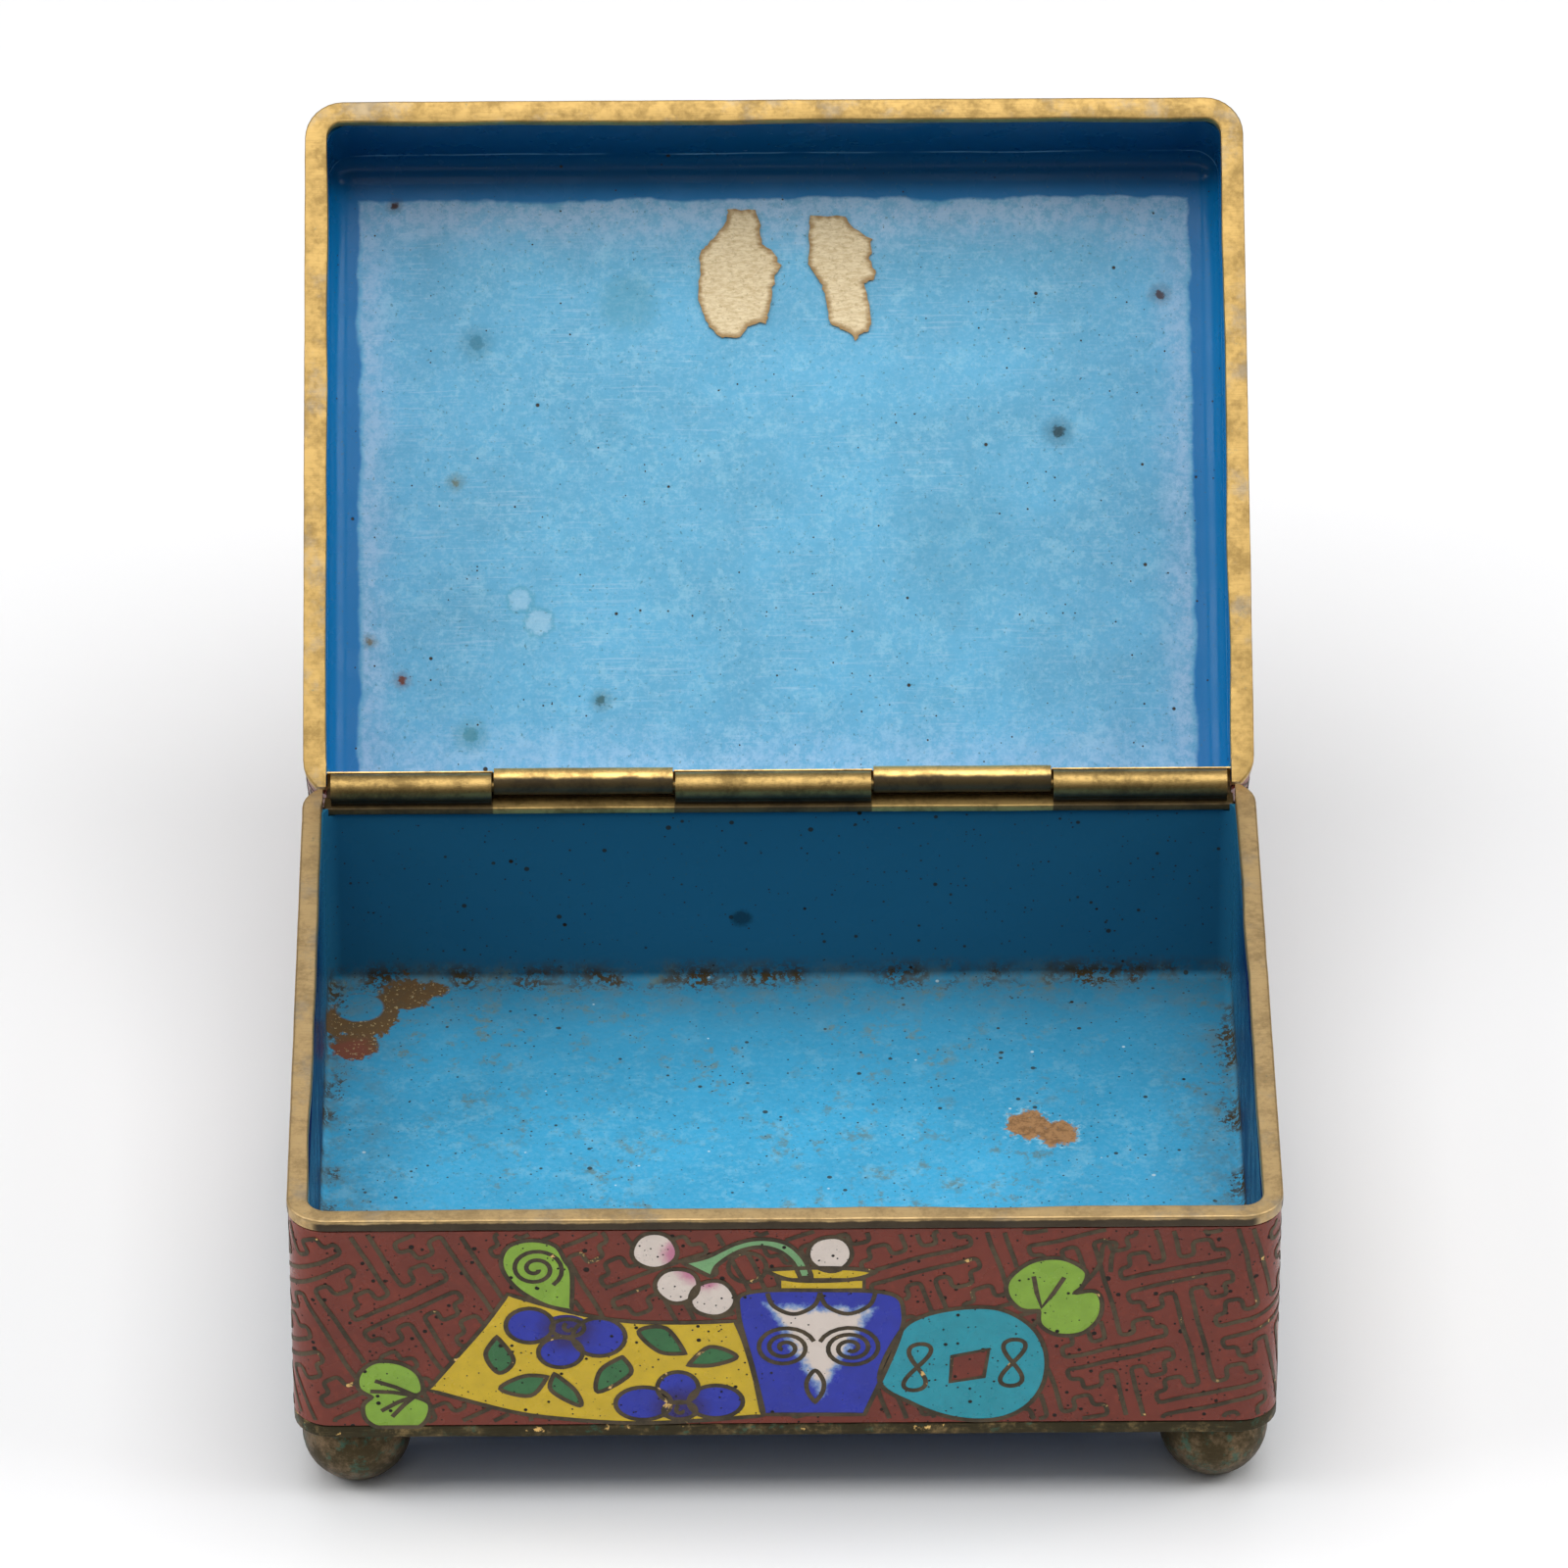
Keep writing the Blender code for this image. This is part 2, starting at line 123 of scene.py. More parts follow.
class BoxColours(bpy.types.PropertyGroup):
    """The colours of the enamels and metals."""

    ground: bpy.props.FloatVectorProperty(
        name="Ground", description="Brick red enamel behind the fret", subtype="COLOR", size=3, min=0, max=1,
        default=(0.20, 0.028, 0.011),
    )
    base_floor: bpy.props.FloatVectorProperty(
        name="Base floor", description="Sky blue enamel on the base's floor", subtype="COLOR", size=3, min=0, max=1,
        default=(0.060, 0.41, 0.69),
    )
    # the base's inner walls take a far darker blue than the lid's: the enamel's deeper blue, darkened further as
    # painted shade
    base_wall: bpy.props.FloatVectorProperty(
        name="Base inner walls", description="Deeper blue on the base's inner walls", subtype="COLOR", size=3, min=0,
        max=1, default=(0.0004, 0.012, 0.082),
    )
    lid_flat: bpy.props.FloatVectorProperty(
        name="Lid lining", description="Sky blue enamel inside the lid", subtype="COLOR", size=3, min=0, max=1,
        default=(0.12, 0.43, 0.66),
    )
    lid_wall: bpy.props.FloatVectorProperty(
        name="Lid inner walls", description="Deeper blue on the lid's inner walls", subtype="COLOR", size=3, min=0,
        max=1, default=(0.003, 0.18, 0.44),
    )
    yellow: bpy.props.FloatVectorProperty(
        name="Yellow", description="Scroll and vase neck", subtype="COLOR", size=3, min=0, max=1,
        default=(0.74, 0.51, 0.018),
    )
    blue: bpy.props.FloatVectorProperty(
        name="Blue", description="Vase and petals", subtype="COLOR", size=3, min=0, max=1,
        default=(0.020, 0.036, 0.46),
    )
    turquoise: bpy.props.FloatVectorProperty(
        name="Turquoise", description="Oval", subtype="COLOR", size=3, min=0, max=1, default=(0.016, 0.36, 0.46),
    )
    lime: bpy.props.FloatVectorProperty(
        name="Light green", description="Heart leaves and curl", subtype="COLOR", size=3, min=0, max=1,
        default=(0.28, 0.49, 0.045),
    )
    green: bpy.props.FloatVectorProperty(
        name="Leaf green", description="Small leaves", subtype="COLOR", size=3, min=0, max=1,
        default=(0.040, 0.19, 0.060),
    )
    white: bpy.props.FloatVectorProperty(
        name="White", description="Fruits and the vase's middle", subtype="COLOR", size=3, min=0, max=1,
        default=(0.84, 0.73, 0.65),
    )
    lid_gilt: bpy.props.FloatVectorProperty(
        name="Lid gilt", description="The lid's rim", subtype="COLOR", size=3, min=0, max=1,
        default=(0.50, 0.33, 0.115),
    )
    base_gilt: bpy.props.FloatVectorProperty(
        name="Base gilt", description="The base's rim, and the hinge", subtype="COLOR", size=3, min=0, max=1,
        default=(0.56, 0.39, 0.185),
    )
    patina: bpy.props.FloatVectorProperty(
        name="Patina", description="Darkened bronze", subtype="COLOR", size=3, min=0, max=1,
        default=(0.065, 0.048, 0.022),
    )


class StageSettings(bpy.types.PropertyGroup):
    """The camera, the light and the floor."""

    azimuth: bpy.props.FloatProperty(
        name="Azimuth", description="The camera's turn round the box", default=radians(-0.463), subtype="ANGLE"
    )
    elevation: bpy.props.FloatProperty(
        name="Elevation", description="The camera's height above the horizon", default=radians(34.82), subtype="ANGLE"
    )
    roll: bpy.props.FloatProperty(
        name="Roll", description="The camera's lean", default=radians(-0.072), subtype="ANGLE"
    )
    distance: bpy.props.FloatProperty(
        name="Distance", description="From the camera to the point it looks at", default=1.5061, unit="LENGTH"
    )
    aim_height: bpy.props.FloatProperty(
        name="Aim height", description="Height above the underside of the point looked at", default=64.678 * MM,
        unit="LENGTH",
    )
    lens: bpy.props.FloatProperty(name="Lens", description="Focal length in millimetres", default=283.43)
    overhead: bpy.props.FloatProperty(name="Overhead light", description="Power of the big soft light", default=12.2)
    sides: bpy.props.FloatProperty(name="Side lights", description="Power of each soft light at the sides", default=6.5)
    front: bpy.props.FloatProperty(name="Front light", description="Power of the weak front light", default=2.6)
    back: bpy.props.FloatProperty(name="Back light", description="Power of the soft light on the floor behind", default=4.8)
    ambient: bpy.props.FloatProperty(name="Ambient", description="Strength of the light all round", default=0.10)


# ---------------------------------------------------------------- shaping by hand


def sizes():
    return bpy.context.scene.cloisonne_sizes


def colours():
    return bpy.context.scene.cloisonne_colours


def lay_down_tools():
    """Leaves edit mode and deselects everything."""
    if bpy.context.mode != "OBJECT":
        bpy.ops.object.mode_set(mode="OBJECT")
    bpy.ops.object.select_all(action="DESELECT")


def take(obj):
    """Makes this the only selected object."""
    lay_down_tools()
    obj.select_set(True)
    bpy.context.view_layer.objects.active = obj
    return obj


def choose(kind, test):
    """Selects in edit mode just the faces, edges or verts that pass the test."""
    bpy.ops.mesh.select_mode(type={"faces": "FACE", "edges": "EDGE", "verts": "VERT"}[kind])
    bpy.ops.mesh.select_all(action="DESELECT")
    bm = bmesh.from_edit_mesh(bpy.context.object.data)
    found = [item for item in getattr(bm, kind) if test(item)]
    for item in found:
        item.select_set(True)
    bm.select_flush_mode()
    bmesh.update_edit_mesh(bpy.context.object.data)
    return len(found)


def upright(edge):
    return abs(edge.verts[0].co.z - edge.verts[1].co.z) > 0.1 * MM


def apply_all(obj):
    take(obj)
    for modifier in list(obj.modifiers):
        bpy.ops.object.modifier_apply(modifier=modifier.name)


def block(name, half_x, half_y, middle_y, z_range, radius, steps=8):
    """A block with round upright corners, in its half's own frame."""
    lay_down_tools()
    low, high = z_range
    bpy.ops.mesh.primitive_cube_add(size=1, location=(0, middle_y, (low + high) / 2))
    obj = bpy.context.object
    obj.name = obj.data.name = name
    obj.scale = (2 * half_x, 2 * half_y, high - low)
    bpy.ops.object.transform_apply(location=True, rotation=True, scale=True)
    bpy.ops.object.mode_set(mode="EDIT")
    if choose("edges", upright):
        bpy.ops.mesh.bevel(offset=radius, segments=steps, profile=0.5, affect="EDGES")
    bpy.ops.object.mode_set(mode="OBJECT")
    return obj


def slice_up(obj, pitch, axes="xy"):
    """Cuts the piece across every pitch, so that it can be dented and waved."""
    low, high = Vector(obj.bound_box[0]), Vector(obj.bound_box[6])
    take(obj)
    bpy.ops.object.mode_set(mode="EDIT")
    for axis, normal in (("x", (1, 0, 0)), ("y", (0, 1, 0)), ("z", (0, 0, 1))):
        if axis not in axes:
            continue
        index = "xyz".index(axis)
        count = int((high[index] - low[index]) / pitch)
        step = (high[index] - low[index]) / (count + 1)
        for cut in range(1, count + 1):
            spot = [0.0, 0.0, 0.0]
            spot[index] = low[index] + cut * step
            bpy.ops.mesh.select_all(action="SELECT")
            bpy.ops.mesh.bisect(plane_co=spot, plane_no=normal)
    bpy.ops.object.mode_set(mode="OBJECT")


def wave(obj, depth, size, seed=0.0, only=None):
    """Pushes the surface in and out a little, as hand work leaves it."""
    shift = Vector((seed * 3.7, seed * 5.1, seed * 2.3))
    moves = []
    for vert in obj.data.vertices:
        if only is None or only(vert.co):
            moves.append((vert, noise.noise_vector(vert.co / size + shift) * depth))
    for vert, move in moves:
        vert.co += move
    obj.data.update()


def carve(obj, cutter):
    """Takes the cutter's shape out of the piece, and removes the cutter."""
    boolean = obj.modifiers.new("carve", "BOOLEAN")
    boolean.operation = "DIFFERENCE"
    boolean.solver = "EXACT"
    boolean.object = cutter
    apply_all(obj)
    bpy.data.objects.remove(cutter, do_unlink=True)
    return obj


def soften_edges(obj, width, angle=50, steps=3):
    bevel = obj.modifiers.new("soft_edges", "BEVEL")
    bevel.width = width
    bevel.segments = steps
    bevel.limit_method = "ANGLE"
    bevel.angle_limit = radians(angle)
    bevel.use_clamp_overlap = True
    apply_all(obj)


def hoop(name, proud, width, middle_y, z_range, radius=CORNER, edge=0.0, pitch=4 * MM):
    """A strip all round the box, thickened inwards from its outer face."""
    obj = block(name, HALF_X + proud, HALF_Y + proud, middle_y, z_range, radius + proud)
    bpy.ops.object.mode_set(mode="EDIT")
    choose("faces", lambda face: abs(face.normal.z) > 0.9)
    bpy.ops.mesh.delete(type="FACE")
    bpy.ops.object.mode_set(mode="OBJECT")
    slice_up(obj, pitch)
    solidify = obj.modifiers.new("thickness", "SOLIDIFY")
    solidify.thickness = width
    solidify.offset = -1.0
    solidify.use_even_offset = True
    apply_all(obj)
    if edge:
        soften_edges(obj, edge, angle=60)
    return obj


def tray(name, middle_y, outer, inner, z_outer, z_inner, outer_radius, inner_radius, cove, floor_end):
    """A lining: a block with a cove-edged block carved out of it."""
    obj = block(name, HALF_X - outer, HALF_Y - outer, middle_y, z_outer, outer_radius)
    hollow = block("hollow", HALF_X - inner, HALF_Y - inner, middle_y, z_inner, inner_radius, steps=12)
    bpy.ops.object.mode_set(mode="EDIT")
    choose("edges", lambda edge: all(abs(vert.co.z - floor_end) < 0.01 * MM for vert in edge.verts))
    bpy.ops.mesh.bevel(offset=cove, segments=9, profile=0.5, affect="EDGES")
    bpy.ops.object.mode_set(mode="OBJECT")
    return carve(obj, hollow)


def place(obj, body, paint, replaces=(), smooth_angle=35):
    """Moves a piece from its half's own frame to where it belongs, paints it and lets it ride."""
    take(obj)
    obj.data.transform(PLACES[body] if body in PLACES else Matrix.Identity(4))
    bpy.ops.object.shade_smooth_by_angle(angle=radians(smooth_angle))
    return dress(obj, body, paint, replaces)


def dress(obj, body, paint, replaces=()):
    obj.data.materials.clear()
    obj.data.materials.append(paint)
    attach(obj, body)
    if replaces:
        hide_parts(*replaces)
    return obj


# ---------------------------------------------------------------- mixing paints


class Paint:
    """A material built step by step from patterns."""

    def __init__(self, name, where="base"):
        self.material = bpy.data.materials.new(name)
        self.material.use_nodes = True
        self.tree = self.material.node_tree
        self.shader = self.tree.nodes["Principled BSDF"]
        self.spots = self.local(where)

    def add(self, kind, *inputs, **settings):
        node = self.tree.nodes.new(kind)
        for key, value in settings.items():
            setattr(node, key, value)
        for index, value in enumerate(inputs):
            self.feed(node.inputs[index], value)
        return node

    def feed(self, socket, value):
        if value is None:
            return
        if isinstance(value, bpy.types.NodeSocket):
            self.tree.links.new(value, socket)
        else:
            if isinstance(value, (tuple, list)) or hasattr(value, "__len__"):
                value = tuple(value)
                if socket.type == "RGBA" and len(value) == 3:
                    value = (*value, 1.0)
            socket.default_value = value

    def local(self, where):
        """Millimetres in the frame of the base or the lid."""
        coords = self.add("ShaderNodeTexCoord").outputs["Object"]
        matrix = PLACES[where]
        return self.add(
            "ShaderNodeMapping", coords, matrix.to_translation(), matrix.to_euler(), (MM, MM, MM),
            vector_type="TEXTURE",
        ).outputs[0]

    def stretched(self, scale, turn=(0, 0, 0)):
        return self.add("ShaderNodeMapping", self.spots, (0, 0, 0), turn, scale, vector_type="POINT").outputs[0]

    def cloud(self, size, detail=3.0, rough=0.55, warp=0.0, vector=None):
        """Soft noise from 0 to 1, with blotches of this size in millimetres."""
        node = self.add("ShaderNodeTexNoise", vector or self.spots)
        node.inputs["Scale"].default_value = 1.0 / size
        node.inputs["Detail"].default_value = detail
        node.inputs["Roughness"].default_value = rough
        node.inputs["Distortion"].default_value = warp
        return node.outputs[0]

    def maths(self, operation, first, second=None, third=None, clamp=False):
        return self.add("ShaderNodeMath", first, second, third, operation=operation, use_clamp=clamp).outputs[0]

    def step(self, value, low, high, to_low=0.0, to_high=1.0):
        """Rises smoothly from to_low to to_high as the value goes from low to high."""
        return self.add(
            "ShaderNodeMapRange", value, low, high, to_low, to_high, interpolation_type="SMOOTHSTEP"
        ).outputs[0]

    def mix(self, share, first, second, blend="MIX"):
        node = self.add("ShaderNodeMix", data_type="RGBA", blend_type=blend)
        self.feed(node.inputs[0], share)
        self.feed(node.inputs[6], first)
        self.feed(node.inputs[7], second)
        return node.outputs[2]

    def split(self, vector=None):
        return self.add("ShaderNodeSeparateXYZ", vector or self.spots).outputs

    def near(self, spot, radius, edge, ragged=None):
        """1 within the radius of a spot, in millimetres, fading over the edge, which noise can make ragged."""
        gap = self.add("ShaderNodeVectorMath", self.spots, spot, operation="DISTANCE").outputs["Value"]
        if ragged is not None:
            gap = self.maths("ADD", gap, ragged)
        return self.step(gap, radius - edge, radius + edge, 1.0, 0.0)

    def pits(self, pitch, biggest, seldom=3.0):
        """Pinholes left by the firing: at most one in each cell of the pitch, and few of the biggest."""
        node = self.add("ShaderNodeTexVoronoi", self.spots, feature="F1")
        node.inputs["Scale"].default_value = 1.0 / pitch
        chance = self.split(node.outputs["Color"])[0]
        size = self.maths("MULTIPLY", self.maths("POWER", chance, seldom), biggest / pitch)
        edge = self.maths("SUBTRACT", node.outputs["Distance"], size)
        return self.step(edge, -0.02, 0.015, 1.0, 0.0)

    def any_of(self, *masks):
        found = masks[0]
        for mask in masks[1:]:
            found = self.maths("MAXIMUM", found, mask)
        return found

    def both(self, first, second):
        return self.maths("MULTIPLY", first, second)

    def relief(self, height, depth, strength=1.0):
        node = self.add("ShaderNodeBump")
        node.inputs["Strength"].default_value = strength
        node.inputs["Distance"].default_value = depth
        self.feed(node.inputs["Height"], height)
        self.feed(self.shader.inputs["Normal"], node.outputs[0])

    def set(self, **values):
        for name, value in values.items():
            self.feed(self.shader.inputs[name.replace("_", " ")], value)
        return self.material


def enamel(paint, colour, pits, rough=(0.16, 0.34), pit_colour=(0.010, 0.006, 0.003), speck=None):
    """Glassy enamel: the colour, its pinholes, and a slightly rippled shine."""
    if speck is not None:
        colour = paint.mix(speck, colour, pit_colour)
    colour = paint.mix(pits, colour, pit_colour)
    ripple = paint.cloud(1.6, 3.0)
    shine = paint.step(paint.cloud(5.0, 4.0), 0.3, 0.75, rough[0], rough[1])
    paint.relief(paint.maths("SUBTRACT", paint.maths("MULTIPLY", ripple, 0.5), pits), 0.08 * MM, 0.7)
    paint.shader.inputs["Specular IOR Level"].default_value = 0.36
    return paint.set(Base_Color=colour, Roughness=paint.maths("MAXIMUM", shine, paint.maths("MULTIPLY", pits, 0.7)))


def mix_ground(where):
    paint = Paint("brick_red_" + where, where)
    tone = paint.mix(
        paint.step(paint.cloud(7.0, 4.0), 0.3, 0.7), tuple(0.80 * c for c in colours().ground), colours().ground
    )
    tone = paint.mix(
        paint.both(paint.step(paint.cloud(1.1, 3.0), 0.5, 0.75), 0.35), tone, tuple(1.5 * c for c in colours().ground)
    )
    pits = paint.any_of(paint.pits(1.5, 0.38, 1.7), paint.pits(0.8, 0.17, 1.2))
    return enamel(paint, tone, pits, (0.22, 0.42))


def mix_cell(name, where, colour, variation=0.2, inner=None, reach=(0.0, 1.0), fringe=None):
    """One of the coloured cells. The inner colour fades out over the reach from the cell's own centre."""
    paint = Paint(name + "_" + where, where)
    tone = paint.mix(
        paint.step(paint.cloud(2.4, 4.0), 0.3, 0.75), tuple((1 - variation) * c for c in colour), colour
    )
    if inner is not None:
        own = paint.add("ShaderNodeUVMap", uv_map="cell").outputs[0]
        gap = paint.add("ShaderNodeVectorMath", own, operation="LENGTH").outputs["Value"]
        gap = paint.maths("ADD", gap, paint.maths("MULTIPLY", paint.maths("SUBTRACT", paint.cloud(0.9), 0.5), 1.4))
        tone = paint.mix(paint.step(gap, reach[0], reach[1], 1.0, 0.0), tone, inner)
    specks = paint.both(paint.step(paint.cloud(0.42, 2.0), 0.63, 0.72), 0.30)
    tone = paint.mix(specks, tone, fringe or tuple(0.45 * c for c in colour))
    return enamel(paint, tone, paint.any_of(paint.pits(1.5, 0.30, 1.8), paint.pits(0.7, 0.15, 1.4)), (0.18, 0.36))


def mix_vase(where):
    """Blue with a white middle that narrows downwards, its edge blurred by the fire."""
    paint = Paint("vase_blue_" + where, where)
    across, up, _ = paint.split(paint.add("ShaderNodeUVMap", uv_map="cell").outputs[0])
    fray = paint.maths("MULTIPLY", paint.maths("SUBTRACT", paint.cloud(1.3, 4.0, 0.65), 0.5), 3.2)
    side = paint.maths("SUBTRACT", paint.maths("MULTIPLY", paint.maths("ADD", up, 7.0), 0.48),
                       paint.maths("ABSOLUTE", across))
    roof = paint.maths("SUBTRACT", 7.2, paint.maths("ADD", up, paint.maths("MULTIPLY", across, 0.06)))
    inside = paint.maths("ADD", paint.maths("MINIMUM", side, roof), fray)
    blue = paint.mix(
        paint.step(paint.cloud(3.0, 3.0), 0.35, 0.7), tuple(0.85 * c for c in colours().blue), colours().blue
    )
    pale = paint.mix(paint.step(inside, -0.4, 0.7), blue, (0.22, 0.36, 0.66))
    tone = paint.mix(paint.step(inside, 0.3, 1.5), pale, colours().white)
    return enamel(paint, tone, paint.any_of(paint.pits(1.6, 0.24, 3.0), paint.pits(0.7, 0.12, 2.2)), (0.18, 0.34))


def mix_lining(name, where, floor_z, wall_side, sky, deep, extras):
    """Sky blue inside, deeper on the walls, with stains, painted shade, a painted reflection, a painted highlight and
    bare copper where the extras say. On the base the walls' deeper blue is darkened further as painted shade.
    """
    paint = Paint(name, where)
    x, y, z = paint.split()
    away = paint.maths("MULTIPLY", paint.maths("SUBTRACT", z, floor_z), wall_side)
    wall = paint.step(away, 0.15, 1.3)
    gloss = 0.04
    if where == "lid":
        gloss = 0.18
        lap = paint.maths("MULTIPLY", paint.maths("SUBTRACT", paint.cloud(5.0, 3.0, 0.5), 0.5), 1.8)
        side = paint.maths("SUBTRACT", 57.6, paint.maths("ABSOLUTE", x))
        front = paint.maths("ADD", y, 45.1 + 43.6 - 1.5)
        wall = paint.maths("MAXIMUM", wall, paint.step(
            paint.maths("ADD", paint.maths("MINIMUM", side, front), lap), 3.6, 4.2, 1.0, 0.0
        ))
    tone = paint.mix(paint.step(paint.cloud(16.0, 5.0, 0.6), 0.3, 0.72), tuple(0.84 * c for c in sky), sky)
    tone = paint.mix(
        paint.both(paint.step(paint.cloud(3.2, 5.0, 0.7), 0.48, 0.7), 0.30), tone, (0.30, 0.60, 0.74)
    )
    tone = paint.mix(paint.both(paint.step(paint.cloud(6.0, 5.0, 0.7), 0.55, 0.75), 0.28), tone, (0.07, 0.30, 0.44))
    grain = paint.step(paint.cloud(0.8, 5.0, 0.75), 0.42, 0.66)
    tone = paint.mix(paint.both(grain, 0.20 if where == "lid" else 0.10), tone, (0.42, 0.66, 0.80))
    tone = paint.mix(paint.both(paint.step(paint.cloud(0.5, 4.0, 0.75), 0.52, 0.70), 0.22), tone, (0.04, 0.22, 0.34))
    # the walls take the deeper blue; on the base it is darkened further as painted shade
    tone = paint.mix(wall, tone, deep)
    tone, rough_extra = extras(paint, tone, (x, y, z), wall)
    specks = paint.both(paint.step(paint.cloud(0.5, 2.0), 0.67, 0.74), 0.55)
    pits = paint.any_of(paint.pits(3.4, 0.32, 4.0), paint.pits(1.2, 0.14, 2.6))
    tone = paint.mix(specks, tone, (0.05, 0.14, 0.16))
    tone = paint.mix(pits, tone, (0.03, 0.022, 0.014))
    wide, fine = paint.cloud(9.0, 2.0), paint.cloud(0.9, 3.0)
    paint.relief(
        paint.maths("SUBTRACT", paint.maths("MULTIPLY_ADD", fine, 0.12, wide), paint.maths("MULTIPLY", pits, 0.5)),
        0.16 * MM, 0.6,
    )
    shine = paint.step(paint.cloud(7.0, 4.0), 0.3, 0.7, 0.20, 0.36)
    paint.shader.inputs["Specular IOR Level"].default_value = gloss
    return paint.set(Base_Color=tone, Roughness=paint.maths("ADD", shine, rough_extra, clamp=True))


COPPER_SCAR = (0.125, 0.075, 0.034)
DIRT = (0.065, 0.044, 0.018)


def base_stains_and_shade(paint, tone, spot, wall):
    """The base's worn places: two chips down to the copper, dirt in the corners and a few crumbs; also painted shade,
    with some grime, towards the back.
    """
    x, y, z = spot
    ragged = paint.maths("MULTIPLY", paint.maths("SUBTRACT", paint.cloud(1.8, 5.0, 0.75), 0.5), 5.0)
    chip = paint.any_of(*(
        paint.near((cx, cy, 4.1), radius, 0.25, ragged)
        for cx, cy, radius in (
            (-52.8, 36.0, 4.6), (-47.6, 40.3, 3.2), (-44.2, 41.4, 1.6), (-53.9, 29.6, 3.0), (-57.0, 33.6, 2.2)
        )
    ))
    kept = paint.near((-53.5, 37.7, 4.1), 3.0, 0.25, paint.maths("MULTIPLY", ragged, 0.15))
    left_chip = paint.both(chip, paint.maths("SUBTRACT", 1.0, kept))
    right_chip = paint.any_of(
        paint.near((31.0, 11.9, 4.1), 2.9, 0.25, ragged), paint.near((34.6, 9.9, 4.1), 2.6, 0.25, ragged)
    )
    scar = paint.any_of(left_chip, right_chip)
    copper = paint.mix(paint.step(paint.cloud(1.2, 4.0, 0.7), 0.45, 0.65), COPPER_SCAR, (0.11, 0.075, 0.04))
    rust = paint.near((-54.3, 28.6, 4.1), 2.6, 1.2, ragged)
    copper = paint.mix(paint.both(rust, 0.8), copper, (0.19, 0.060, 0.042))
    gold_crumbs = paint.step(paint.cloud(0.5, 3.0, 0.7), 0.61, 0.66)
    copper = paint.mix(gold_crumbs, copper, (0.52, 0.38, 0.17))
    fresh = paint.near((33.0, 10.9, 4.1), 8.0, 1.0)
    bare = paint.mix(paint.step(paint.cloud(0.9, 4.0, 0.75), 0.42, 0.62), (0.40, 0.22, 0.10), (0.24, 0.13, 0.06))
    copper = paint.mix(fresh, copper, bare)
    lips = paint.both(paint.any_of(
        paint.near((31.0, 11.9, 4.1), 3.7, 0.5, ragged), paint.near((34.6, 9.9, 4.1), 3.4, 0.5, ragged)
    ), paint.step(paint.cloud(0.8, 3.0), 0.5, 0.62))
    tone = paint.mix(paint.both(lips, 0.5), tone, (0.40, 0.72, 0.85))
    # painted shade, with some grime, darkens the floor towards the back
    behind = paint.step(paint.maths("ADD", y, paint.maths("MULTIPLY", ragged, 0.8)), 2.0, 44.0, 0.0, 0.80)
    tone = paint.mix(behind, tone, tuple(0.45 * c for c in colours().base_floor))
    # dirt gathers along the walls and most of all at the back and left; a grey veil also darkens the floor near the
    # walls
    edge_x = paint.maths("SUBTRACT", 57.6, paint.maths("ABSOLUTE", x))
    edge_y = paint.maths("SUBTRACT", 43.6, y)
    edge = paint.maths("MINIMUM", edge_x, edge_y)
    low = paint.step(z, 4.6, 8.0, 1.0, 0.0)
    grit = paint.cloud(0.8, 5.0, 0.75)
    drift = paint.cloud(7.0, 4.0, 0.6)
    near_edge = paint.step(edge, 0.4, 4.5, 0.19, -0.02)
    dirt = paint.both(paint.step(paint.maths("ADD", grit, near_edge), 0.635, 0.69), paint.step(drift, 0.40, 0.62))
    dirt = paint.both(paint.both(dirt, low), paint.step(edge, 0.0, 9.0, 1.0, 0.18))
    veil = paint.both(paint.both(paint.step(edge, 0.2, 14.0, 0.55, 0.0), paint.step(paint.cloud(4.0, 5.0, 0.7), 0.4, 0.7)), low)
    smear = paint.both(paint.step(paint.cloud(2.6, 6.0, 0.78), 0.52, 0.64), paint.step(paint.cloud(9.0, 3.0), 0.42, 0.60))
    tone = paint.mix(paint.both(paint.both(smear, 0.62), low), tone, (0.15, 0.17, 0.10))
    crumbs = paint.any_of(paint.pits(2.0, 0.36, 2.4), paint.pits(0.95, 0.16, 1.6))
    tone = paint.mix(paint.both(crumbs, 0.85), tone, (0.035, 0.030, 0.016))
    tone = paint.mix(paint.both(paint.both(paint.pits(2.9, 0.28, 3.0), low), 0.7), tone, (0.58, 0.74, 0.80))
    tone = paint.mix(veil, tone, (0.14, 0.17, 0.14))
    tone = paint.mix(dirt, tone, DIRT)
    mark = paint.near((-4.8, 43.4, 13.6), 1.2, 0.5, paint.maths("MULTIPLY", ragged, 0.4))
    tone = paint.mix(paint.both(mark, 0.75), tone, (0.012, 0.04, 0.06))
    tone = paint.mix(scar, tone, copper)
    return tone, paint.maths("MULTIPLY", paint.any_of(scar, dirt), 0.35)


